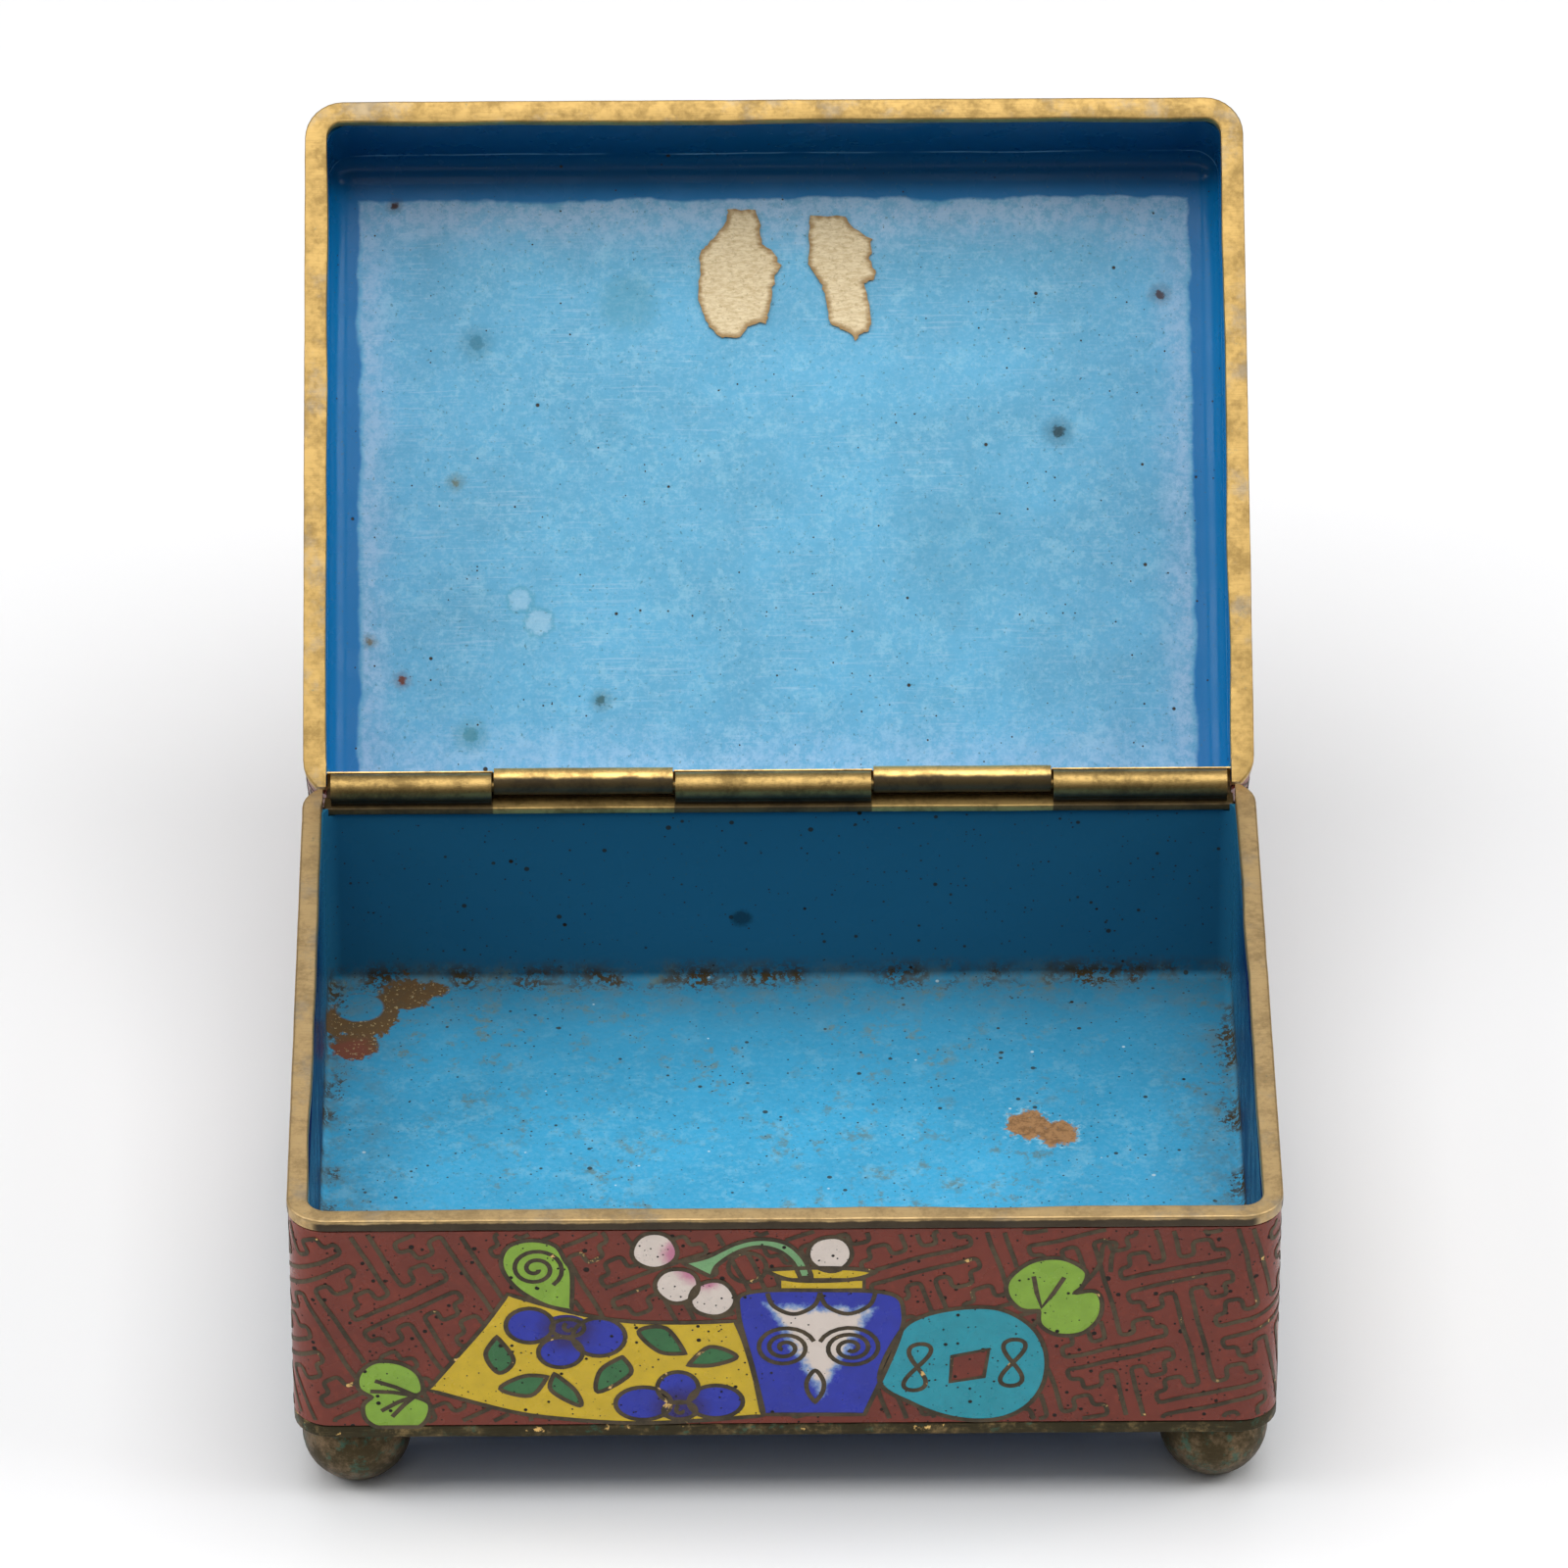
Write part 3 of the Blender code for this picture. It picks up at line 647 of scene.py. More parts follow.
def lid_stains_and_light(paint, tone, spot, wall):
    """The lid's worn places and painted light: a pale bloom of painted reflection towards the edges of its flat, a
    painted highlight in a thin line on the walls, painted shade on the far wall, scuffs, spots and two ring marks.
    """
    x, y, z = spot
    edge_x = paint.maths("SUBTRACT", 57.6, paint.maths("ABSOLUTE", x))
    far = paint.maths("ADD", y, 45.1 + 43.6)  # from the side away from the hinge
    near = paint.maths("SUBTRACT", -1.5, y)  # from the hinge
    # painted reflection: pale scalloped bands mirror the light where the flat turns up to the cove, towards the far
    # side, the sides and the hinge
    scallop = paint.maths("MULTIPLY", paint.maths("SUBTRACT", paint.cloud(5.0, 3.0, 0.5), 0.5), 7.0)
    band_far = paint.both(
        paint.step(paint.maths("ADD", far, scallop), 4.4, 5.6), paint.step(paint.maths("ADD", far, scallop), 6.5, 14.0, 1.0, 0.0)
    )
    band_side = paint.both(
        paint.step(paint.maths("ADD", edge_x, paint.maths("MULTIPLY", scallop, 0.2)), 4.0, 4.7),
        paint.step(paint.maths("ADD", edge_x, paint.maths("MULTIPLY", scallop, 0.6)), 4.5, 9.5, 1.0, 0.0),
    )
    band_near = paint.step(paint.maths("ADD", near, scallop), 3.0, 14.0, 1.0, 0.0)
    flat = paint.maths("SUBTRACT", 1.0, wall)
    # painted shade darkens the far wall, which faces away from the light
    tone = paint.mix(paint.both(wall, paint.step(far, 1.5, 6.0, 0.72, 0.0)), tone, (0.0004, 0.030, 0.085))
    haze = paint.step(paint.cloud(1.6, 6.0, 0.78), 0.38, 0.60, 0.25, 1.0)
    # the painted reflection, broken up by haze, on the flat only
    bloom = paint.both(paint.both(paint.any_of(band_far, paint.both(band_side, 0.85), paint.both(band_near, 0.7)), haze), flat)
    tone = paint.mix(paint.both(bloom, 0.70), tone, (0.44, 0.60, 0.78))
    # fine wiping scratches, most of them along the lid
    for slope, share, place_size in ((4, 0.20, 12.0), (63, 0.16, 9.0), (118, 0.14, 14.0)):
        lines = paint.cloud(1.0, 3.0, 0.65, vector=paint.stretched((0.12, 2.6, 1.0), (0, 0, radians(slope))))
        strokes = paint.both(paint.step(lines, 0.56, 0.66), paint.step(paint.cloud(place_size, 2.0), 0.5, 0.62))
        tone = paint.mix(paint.both(paint.both(strokes, flat), share), tone, (0.50, 0.66, 0.80))
    ragged = paint.maths("MULTIPLY", paint.maths("SUBTRACT", paint.cloud(0.9, 4.0, 0.7), 0.5), 1.6)
    for spot_at, radius, colour, amount in (
        ((-49.1, -82.7, 17.1), 0.45, (0.05, 0.02, 0.02), 1.0),
        ((-48.1, -18.8, 17.1), 0.5, (0.12, 0.03, 0.02), 1.0),
        ((49.8, -70.1, 17.1), 0.6, (0.05, 0.03, 0.04), 0.95),
        ((36.5, -51.7, 17.1), 0.8, (0.01, 0.05, 0.07), 0.95),
        ((-22.6, -16.0, 17.1), 0.6, (0.02, 0.08, 0.08), 0.8),
        ((-52.2, -24.0, 17.1), 0.4, (0.16, 0.12, 0.05), 0.8),
        ((-41.2, -45.3, 17.1), 0.5, (0.12, 0.13, 0.05), 0.7),
        ((-38.5, -64.0, 17.1), 0.9, (0.02, 0.16, 0.24), 0.6),
        ((-39.3, -11.5, 17.1), 0.9, (0.03, 0.20, 0.24), 0.6),
    ):
        tone = paint.mix(paint.both(paint.near(spot_at, 2.4 * radius, radius, ragged), 0.30), tone, colour)
        tone = paint.mix(paint.both(paint.near(spot_at, radius, 0.25, ragged), amount), tone, colour)
    for ring_at, radius in (((-33.0, -29.5, 17.1), 1.9), ((-30.5, -26.5, 17.1), 2.1)):
        outer = paint.near(ring_at, radius, 0.3, ragged)
        inner = paint.near(ring_at, radius - 0.5, 0.3, ragged)
        tone = paint.mix(paint.both(paint.maths("SUBTRACT", outer, inner), 0.45), tone, (0.06, 0.30, 0.42))
        tone = paint.mix(paint.both(inner, 0.30), tone, (0.46, 0.64, 0.76))
    shade = paint.both(paint.near((24.3, -36.0, 17.1), 7.0, 3.5, paint.maths("MULTIPLY", ragged, 2.5)), 0.22)
    tone = paint.mix(shade, tone, (0.05, 0.26, 0.40))
    stain = paint.both(paint.near((-19.0, -69.2, 17.1), 3.6, 1.6, paint.maths("MULTIPLY", ragged, 2.0)), 0.30)
    tone = paint.mix(stain, tone, (0.05, 0.24, 0.30))
    # painted highlight: a thin pale line round the walls where they step into the cove
    level = paint.maths("ADD", z, paint.maths("MULTIPLY", paint.maths("SUBTRACT", paint.cloud(14.0, 2.0), 0.5), 1.2))
    ridge_highlight = paint.both(paint.step(paint.maths("ABSOLUTE", paint.maths("SUBTRACT", level, 14.3)), 0.05, 0.30, 1.0, 0.0),
                       paint.step(paint.cloud(9.0, 3.0), 0.35, 0.6))
    tone = paint.mix(paint.both(ridge_highlight, 0.45), tone, (0.30, 0.55, 0.72))
    return tone, paint.maths("MULTIPLY", bloom, 0.16)


def mix_metal(
    name, where, bright, dark, share, rough=(0.32, 0.55), grain=None, green=0.0, flecks=0.0, metallic=1.0, shade=None,
    tarnish=False,
):
    """Bronze from bright gilding to dark patina. The share sets how much of it is dark; where the shade mask says,
    painted shade makes it darker still and less metallic.
    """
    paint = Paint(f"{name}_{where}", where)
    blotch = paint.cloud(4.5, 5.0, 0.65)
    fine = paint.cloud(0.7, 4.0, 0.7)
    worn = paint.maths("ADD", paint.maths("MULTIPLY", blotch, 0.65), paint.maths("MULTIPLY", fine, 0.35))
    middle = 0.5 + (share - 0.5) * 0.45
    dull = paint.step(worn, middle - 0.10, middle + 0.10, 1.0, 0.0)
    tone = paint.mix(dull, bright, dark)
    scratches = paint.cloud(1.0, 3.0, 0.6, vector=grain(paint) if grain else paint.stretched((0.25, 6.0, 6.0)))
    tone = paint.mix(paint.both(paint.step(scratches, 0.54, 0.66), 0.38), tone, dark)
    tone = paint.mix(paint.both(paint.step(scratches, 0.30, 0.42, 1.0, 0.0), 0.22), tone, tuple(min(1.0, 1.25 * c) for c in bright))
    if tarnish:
        film = paint.both(paint.step(paint.cloud(8.0, 5.0, 0.7), 0.50, 0.68), 0.55)
        tone = paint.mix(film, tone, (0.30, 0.27, 0.22))
        spots = paint.both(paint.step(paint.cloud(3.0, 5.0, 0.75), 0.64, 0.72), 0.6)
        tone = paint.mix(spots, tone, (0.16, 0.19, 0.13))
    if green:
        bloom = paint.step(paint.cloud(2.2, 5.0, 0.75), 0.60 - 0.1 * green, 0.74 - 0.1 * green)
        tone = paint.mix(paint.both(bloom, 0.75), tone, (0.05, 0.13, 0.09))
    if flecks:
        glint = paint.both(paint.step(paint.cloud(2.6, 4.0, 0.7), 0.70 - 0.1 * flecks, 0.74 - 0.1 * flecks), 0.95)
        tone = paint.mix(glint, tone, (0.80, 0.52, 0.18))
    if shade:
        paint.shader.inputs["Specular IOR Level"].default_value = 0.25
        # painted shade: near-black and hardly metallic where the shade mask says
        painted_shade = paint.both(shade(paint), 0.92)
        tone = paint.mix(painted_shade, tone, (0.016, 0.011, 0.007))
        metallic = paint.step(painted_shade, 0.0, 1.0, metallic, 0.15)
    paint.relief(paint.maths("ADD", paint.maths("MULTIPLY", scratches, 0.5), paint.maths("MULTIPLY", fine, 0.5)), 0.05 * MM, 0.6)
    return paint.set(Metallic=metallic, Base_Color=tone, Roughness=paint.step(worn, 0.3, 0.7, rough[1], rough[0]))


def mix_rim(where, bright):
    """Gilding worn by the hand on the flat of a rim, with painted shade on its outer side."""
    low, high = (32.45, 32.8) if where == "base" else (1.35, 0.65)

    # painted shade on the rim's outer side
    def shaded_outer_side(paint):
        x, y, z = paint.split()
        beyond_x = paint.step(paint.maths("ABSOLUTE", x), 59.75, 60.1)
        centre = MIDDLES[where] / MM
        beyond_y = paint.step(paint.maths("ABSOLUTE", paint.maths("SUBTRACT", y, centre)), 45.75, 46.1)
        uneven = paint.maths("MULTIPLY", paint.maths("SUBTRACT", paint.cloud(2.5, 4.0), 0.5), 0.7)
        return paint.both(paint.any_of(beyond_x, beyond_y), paint.step(paint.maths("ADD", z, uneven), low, high, 1.0, 0.0))
    return mix_metal(
        "gilt_rim", where, bright, tuple(0.70 * c for c in bright), 0.44, (0.40, 0.60), shade=shaded_outer_side, tarnish=True
    )


def file_marks(paint):
    """Slanting strokes of a file."""
    return paint.stretched((1.6, 11.0, 11.0), (0, radians(52), radians(38)))


def mix_hinge(where, leaf=False):
    """Filed brass, bright on top; painted shade darkens the tubes' lower and hidden sides and the leaf where the base's
    tubes stand over it.
    """
    # painted shade: below the axis on the base's tubes, on the back of the lid's tubes, and on the leaf where the
    # base's tubes stand over it
    def hinge_shade(paint):
        x, y, z = paint.split()
        uneven = paint.maths("MULTIPLY", paint.maths("SUBTRACT", paint.cloud(2.0, 4.0), 0.5), 0.7)
        if where == "lid":
            return paint.step(paint.maths("ADD", y, uneven), -0.95, -0.35)
        level = paint.maths("ADD", paint.maths("SUBTRACT", z, AXIS_Z / MM), uneven)
        if leaf:
            under_lid_tube = paint.any_of(*(
                paint.step(paint.maths("ABSOLUTE", paint.maths("SUBTRACT", x, middle)), half, half + 0.5, 1.0, 0.0)
                for middle, half in ((-24.7, 11.2), (23.2, 11.2))
            ))
            return paint.step(paint.maths("ADD", under_lid_tube, paint.maths("MULTIPLY", uneven, 0.3)), 0.1, 0.9, 0.85, 0.0)
        return paint.step(level, -0.9, 0.9, 1.0, 0.05)
    # painted light: the lid's tubes are the same gilt painted 1.9 times brighter
    gilt = colours().lid_gilt if where == "base" else tuple(1.9 * c for c in colours().lid_gilt)
    return mix_metal(
        "hinge_leaf" if leaf else "filed_brass", where, gilt, tuple(0.5 * c for c in gilt), 0.45, (0.34, 0.52), file_marks, shade=hinge_shade,
        metallic=0.5 if leaf else 0.95,
    )


def mix_paper():
    paint = Paint("old_paper", "lid")
    fibre = paint.cloud(1.0, 4.0, 0.7, vector=paint.stretched((0.9, 2.6, 1.0), (0, 0, radians(25))))
    tone = paint.mix(paint.step(fibre, 0.3, 0.7), (0.64, 0.49, 0.27), (0.86, 0.72, 0.47))
    tone = paint.mix(paint.both(paint.step(paint.cloud(0.45, 3.0), 0.55, 0.7), 0.45), tone, (0.42, 0.29, 0.13))
    own = paint.add("ShaderNodeUVMap", uv_map="edge").outputs[0]
    torn = paint.maths("ADD", paint.split(own)[0], paint.maths("MULTIPLY", paint.maths("SUBTRACT", paint.cloud(1.3, 4.0), 0.5), 0.9))
    tone = paint.mix(paint.both(paint.step(torn, 0.15, 0.9, 1.0, 0.0), 0.85), tone, (0.30, 0.17, 0.055))
    paint.relief(fibre, 0.10 * MM, 0.8)
    return paint.set(Base_Color=tone, Roughness=0.9)


# ---------------------------------------------------------------- drawing on the flat

STRAIGHT_X = HALF_X - CORNER
STRAIGHT_Y = HALF_Y - CORNER
ARC = CORNER * pi / 2
HALF_ROUND = 2 * STRAIGHT_X + 2 * STRAIGHT_Y + 2 * ARC  # from the middle of the front to the middle of the back


def round_the_wall(along, height, proud):
    """From metres along the wall, right from the middle of the front, to a point about the half's middle."""
    side = 1.0 if along >= 0 else -1.0
    left = abs(along)
    if left <= STRAIGHT_X:
        point = (left, -HALF_Y - proud)
    elif left <= STRAIGHT_X + ARC:
        angle = (left - STRAIGHT_X) / CORNER
        point = (STRAIGHT_X + (CORNER + proud) * sin(angle), -STRAIGHT_Y - (CORNER + proud) * cos(angle))
    elif left <= STRAIGHT_X + ARC + 2 * STRAIGHT_Y:
        point = (HALF_X + proud, -STRAIGHT_Y + left - STRAIGHT_X - ARC)
    elif left <= STRAIGHT_X + 2 * ARC + 2 * STRAIGHT_Y:
        angle = (left - STRAIGHT_X - ARC - 2 * STRAIGHT_Y) / CORNER
        point = (STRAIGHT_X + (CORNER + proud) * cos(angle), STRAIGHT_Y + (CORNER + proud) * sin(angle))
    else:
        point = (HALF_ROUND - left, HALF_Y + proud)
    return Vector((side * point[0], point[1], height))


def over_the_top(across, along, proud):
    """From metres across and back on the lid's top to a point about the lid's middle."""
    return Vector((across, along, LID_HEIGHT + proud))


def rounded(points, closed=True, sharp=(), steps=6):
    """A smooth line through the points, turning sharply only where told."""
    count = len(points)
    spans = count if closed else count - 1
    line = []
    for i in range(spans):
        p1, p2 = Vector(points[i]), Vector(points[(i + 1) % count])
        p0 = Vector(points[i - 1]) if closed or i > 0 else p1
        p3 = Vector(points[(i + 2) % count]) if closed or i + 2 < count else p2
        if i in sharp:
            p0 = p1
        if (i + 1) % count in sharp:
            p3 = p2
        for step in range(steps):
            t = step / steps
            line.append(
                0.5 * (2 * p1 + (p2 - p0) * t + (2 * p0 - 5 * p1 + 4 * p2 - p3) * t**2
                       + (3 * p1 - p0 - 3 * p2 + p3) * t**3)
            )
    if not closed:
        line.append(Vector(points[-1]))
    return [(point.x, point.y) for point in line]


def round_spot(x, z, wide, high=None, lumps=0.0, steps=28):
    high = wide if high is None else high
    line = []
    for step in range(steps):
        angle = 2 * pi * step / steps
        swell = 1 + lumps * sin(3 * angle + x) + 0.6 * lumps * sin(5 * angle + z)
        line.append((x + wide * swell * cos(angle), z + high * swell * sin(angle)))
    return line


def spiral(x, z, radius, turns, start=0.0, squash=1.0, centre=0.12):
    steps = int(turns * 22)
    line = []
    for step in range(steps + 1):
        share = step / steps
        reach = radius * (1 - (1 - centre) * share)
        angle = start + 2 * pi * turns * share
        line.append((x + reach * cos(angle), z + squash * reach * sin(angle)))
    return line


def inside(point, outline):
    x, z = point
    hit = False
    for (x1, z1), (x2, z2) in zip(outline, outline[1:] + outline[:1]):
        if (z1 > z) != (z2 > z) and x < (x2 - x1) * (z - z1) / (z2 - z1) + x1:
            hit = not hit
    return hit


class Drawing:
    """Coloured cells and wires on one surface, in millimetres, and the outlines that the fret keeps out of."""

    def __init__(self):
        self.cells = []
        self.wires = []
        self.clear = []

    def cell(self, at, paint, outline, centre=(0.0, 0.0), layer=0, wired=True, clear=True):
        self.cells.append((at, paint, outline, centre, layer))
        moved = [at(*point) for point in outline]
        if clear:
            self.clear.append(moved)
        if wired:
            self.wires.append((moved, True))

    def wire(self, at, line, closed=False):
        self.wires.append(([at(*point) for point in line], closed))


def as_drawn(x, z):
    return x, z


def moved(dx, dz, scale=1.0, about=(0.0, 0.0), mirrored=False, turn=0.0):
    """Moves a motif that was drawn about one point to another."""
    def at(x, z):
        x, z = (x - about[0]) * scale * (-1 if mirrored else 1), (z - about[1]) * scale
        return dx + x * cos(turn) - z * sin(turn), dz + x * sin(turn) + z * cos(turn)
    return at


def draw_scroll(drawing, at):
    scroll = rounded(
        [(-43.5, 7.3), (-33.5, 3.9), (-26.9, 2.7), (-18.7, 2.0), (-10.9, 2.3), (-2.8, 3.0), (-3.9, 9.5),
         (-5.1, 14.6), (-6.1, 17.5), (-12.9, 17.3), (-19.4, 17.6), (-25.9, 19.0), (-33.6, 21.8), (-36.6, 16.9),
         (-39.9, 12.3)], sharp=(0, 5, 8, 12))
    drawing.cell(at, "yellow", scroll)
    for tip, leaf in (
        (0, [(-35.0, 15.4), (-36.4, 12.6), (-34.8, 9.8), (-33.0, 11.8)]),
        (2, [(-34.7, 7.4), (-31.8, 9.3), (-28.9, 9.2), (-31.0, 6.3)]),
        (0, [(-28.1, 9.7), (-25.6, 7.1), (-25.0, 4.7), (-28.5, 7.1)]),
        (0, [(-19.8, 12.2), (-18.8, 9.6), (-22.8, 6.8), (-22.5, 10.1)]),
        (2, [(-17.8, 16.0), (-14.5, 16.5), (-12.1, 12.6), (-15.3, 12.9)]),
        (0, [(-11.9, 10.8), (-9.2, 13.6), (-5.9, 12.1), (-8.8, 10.8)]),
    ):
        drawing.cell(at, "green", rounded(leaf, sharp=(tip,)), layer=1, clear=False)
    for middle, petals in (
        ((-26.4, 16.6), ((-31.0, 17.0, 2.9, 2.6), (-22.6, 15.2, 3.2, 2.9), (-27.3, 12.9, 2.7, 2.3), (-26.6, 16.4, 3.0, 2.2))),
        ((-12.9, 3.9), ((-17.3, 5.0, 3.4, 2.5), (-13.1, 7.4, 2.5, 2.4), (-8.5, 5.2, 3.3, 2.5), (-13.0, 4.2, 3.0, 1.7))),
    ):
        for index, (x, z, wide, high) in enumerate(petals):
            last = index == len(petals) - 1
            petal = [(px, max(pz, 2.15)) for px, pz in round_spot(x, z, wide, high)]
            drawing.cell(at, "petal", petal, middle, layer=3 if last else 2, wired=not last, clear=False)
        drawing.wire(at, round_spot(middle[0], middle[1], 2.0, 1.35), closed=True)
        drawing.wire(at, spiral(middle[0] + 0.2, middle[1], 0.8, 0.7, 2.0))


def draw_curl(drawing, at):
    curl = rounded([(-25.8, 24.8), (-25.9, 19.2), (-29.2, 20.2), (-32.6, 22.8), (-34.3, 26.1), (-33.5, 28.9),
                    (-30.7, 29.9), (-27.8, 29.1), (-26.6, 26.8)], sharp=(1,))
    drawing.cell(at, "lime", curl, layer=3)
    drawing.wire(at, spiral(-30.2, 25.6, 3.4, 2.1, -0.9, 0.92))


def draw_small_leaf(drawing, at):
    leaf = rounded([(-51.8, 9.8), (-49.8, 11.6), (-46.9, 11.4), (-44.7, 9.8), (-44.1, 7.2), (-45.2, 6.3),
                    (-43.3, 5.1), (-43.8, 2.5), (-45.9, 0.9), (-48.7, 1.1), (-51.0, 2.6), (-51.4, 4.9),
                    (-50.3, 6.2), (-51.9, 7.5)], sharp=(5, 12))
    leaf = [(x, max(z, 1.6)) for x, z in leaf]
    drawing.cell(at, "lime", leaf)
    for tip in ((-49.9, 8.7), (-50.5, 7.1), (-49.2, 4.1), (-47.9, 3.2)):
        drawing.wire(at, [(-45.0, 6.4), (0.5 * (-45.0 + tip[0]), 0.5 * (6.4 + tip[1]) + 0.2), tip])


def draw_heart_leaf(drawing, at):
    leaf = rounded([(34.9, 21.4), (36.0, 22.6), (36.3, 24.8), (33.3, 26.7), (29.7, 26.2), (27.0, 23.6),
                    (26.9, 21.1), (28.5, 19.0), (30.7, 18.8), (30.9, 16.6), (33.0, 15.1), (35.9, 15.3),
                    (37.9, 17.4), (38.3, 20.0), (37.4, 21.7)], sharp=(0, 8))
    drawing.cell(at, "lime", leaf)
    drawing.wire(at, [(30.0, 24.0), (30.4, 21.5), (31.0, 19.3), (32.4, 21.4), (33.7, 23.8)])
    drawing.wire(at, rounded([(36.0, 22.6), (37.9, 25.6), (38.4, 28.7), (39.9, 28.9), (39.4, 27.0), (39.3, 24.6)], closed=False))


def draw_fruits(drawing, at):
    for x, z, radius, blush, layer in (
        (-8.8, 20.9, 2.75, (-9.6, 24.4), 1), (-13.1, 22.9, 2.65, (-11.0, 25.4), 2), (-15.8, 28.2, 2.75, (-12.8, 27.6), 2),
        (5.4, 27.6, 2.65, (40.0, 40.0), 3),
    ):
        drawing.cell(at, "fruit", round_spot(x, z, radius, radius * 0.98, 0.02), blush, layer)
    stem = rounded([(-12.5, 26.4), (-9.5, 27.2), (-6.0, 29.2), (-3.0, 29.9), (0.1, 29.2), (2.2, 26.9), (3.2, 24.1),
                    (1.8, 24.0), (0.9, 26.3), (-0.7, 28.0), (-3.0, 28.7), (-5.7, 28.0), (-8.2, 26.0), (-8.9, 24.2)],
                   sharp=(0, 6, 7, 13))
    drawing.cell(at, "stem", stem, layer=3)
    drawing.wire(at, round_spot(-4.6, 25.6, 2.3, 2.2), closed=True)


def draw_vase(drawing, at):
    middle = (4.3, 12.6)
    vase = rounded([(-4.5, 21.8), (4.2, 22.1), (12.7, 21.5), (14.3, 18.4), (13.6, 14.2), (11.5, 8.1), (9.6, 3.1),
                    (-2.6, 3.2), (-4.0, 10.5), (-5.7, 18.9)], sharp=(6, 7))
    drawing.cell(at, "vase", vase, middle)
    drawing.cell(at, "yellow", [(-0.7, 23.8), (9.5, 23.7), (9.5, 22.2), (-0.7, 22.1)], layer=1)
    lip = rounded([(-2.6, 25.2), (0.3, 23.8), (4.2, 23.5), (8.5, 23.8), (11.0, 24.8), (8.5, 25.3), (4.2, 25.5),
                   (0.3, 25.4)], sharp=(0, 4))
    drawing.cell(at, "yellow", lip, layer=2)
    for left, right in ((-2.2, 4.2), (4.2, 10.9)):
        arc = [(left, 21.7), (left + 0.8, 19.7), ((left + right) / 2, 18.5), (right - 0.8, 19.7), (right, 21.7)]
        drawing.wire(at, rounded(arc, closed=False))
    drawing.wire(at, spiral(-0.1, 13.4, 3.7, 2.6, 0.3, 0.86))
    drawing.wire(at, [(2 * 4.0 - x, z) for x, z in spiral(0.1, 13.3, 3.9, 2.8, 0.3, 0.84)])
    drop = rounded([(3.6, 9.9), (4.6, 8.3), (4.5, 6.6), (3.6, 5.0), (2.7, 6.6), (2.6, 8.3)], sharp=(3,))
    drawing.wire(at, drop, closed=True)


def draw_oval(drawing, at):
    oval = rounded([(11.4, 8.3), (13.8, 15.5), (16.7, 18.1), (21.6, 19.3), (26.1, 19.0), (29.8, 16.4), (31.6, 12.3),
                    (31.3, 7.6), (29.1, 4.0), (25.4, 2.2), (20.4, 2.5), (15.5, 4.7)])
    drawing.cell(at, "turquoise", oval)
    drawing.cell(at, "ground", [(20.2, 11.9), (24.7, 13.0), (24.1, 8.8), (20.0, 8.0)], layer=1)
    for x, z, lean in ((16.0, 10.3, 0.45), (27.6, 10.9, 0.25)):
        loops = []
        for step in range(37):
            angle = 2 * pi * step / 36
            loops.append((x + lean * cos(angle) + 1.35 * sin(2 * angle), z + 3.55 * cos(angle)))
        drawing.wire(at, loops)


def fret_unit():
    """The outline of one dumbbell of the key fret, in fifths of a tile, upright about its middle."""
    corner = [(0.5, 0), (0.5, 3.7), (1.45, 3.7), (1.45, 2.75), (2.65, 2.75), (2.65, 3.65), (3.4, 3.65), (3.4, 4.5)]
    right = corner[1:] + [(-x, z) for x, z in reversed(corner[1:])]
    return right + [(-x, -z) for x, z in right]


def lean_over(x, z):
    """Turns the fret's plain lattice to its slant, steeper on the left than on the right, in millimetres."""
    swing, round_length, middle = 0.13, 208.0, 16.5
    z += swing * round_length / (2 * pi) * (cos(2 * pi * x / round_length) - 1)
    return x + swing * sin(2 * pi * x / round_length) * (z - middle), z


def bend(line, radius, pitch, closed):
    """Rounds the corners of a line as bent wire and adds points along its runs."""
    count = len(line)
    soft = []
    for i in range(count):
        here = Vector(line[i])
        if not closed and i in (0, count - 1):
            soft.append(here)
            continue
        back, ahead = Vector(line[i - 1]) - here, Vector(line[(i + 1) % count]) - here
        first = here + back.normalized() * min(radius, 0.45 * back.length)
        last = here + ahead.normalized() * min(radius, 0.45 * ahead.length)
        for share in (0, 0.25, 0.5, 0.75, 1):
            soft.append(first.lerp(here, share).lerp(here.lerp(last, share), share))
    if closed:
        soft.append(soft[0])
    dense = [soft[0]]
    for start, end in zip(soft, soft[1:]):
        pieces = max(1, int((end - start).length / pitch))
        dense += [start.lerp(end, (k + 1) / pieces) for k in range(pieces)]
    return [(point.x, point.y) for point in dense]


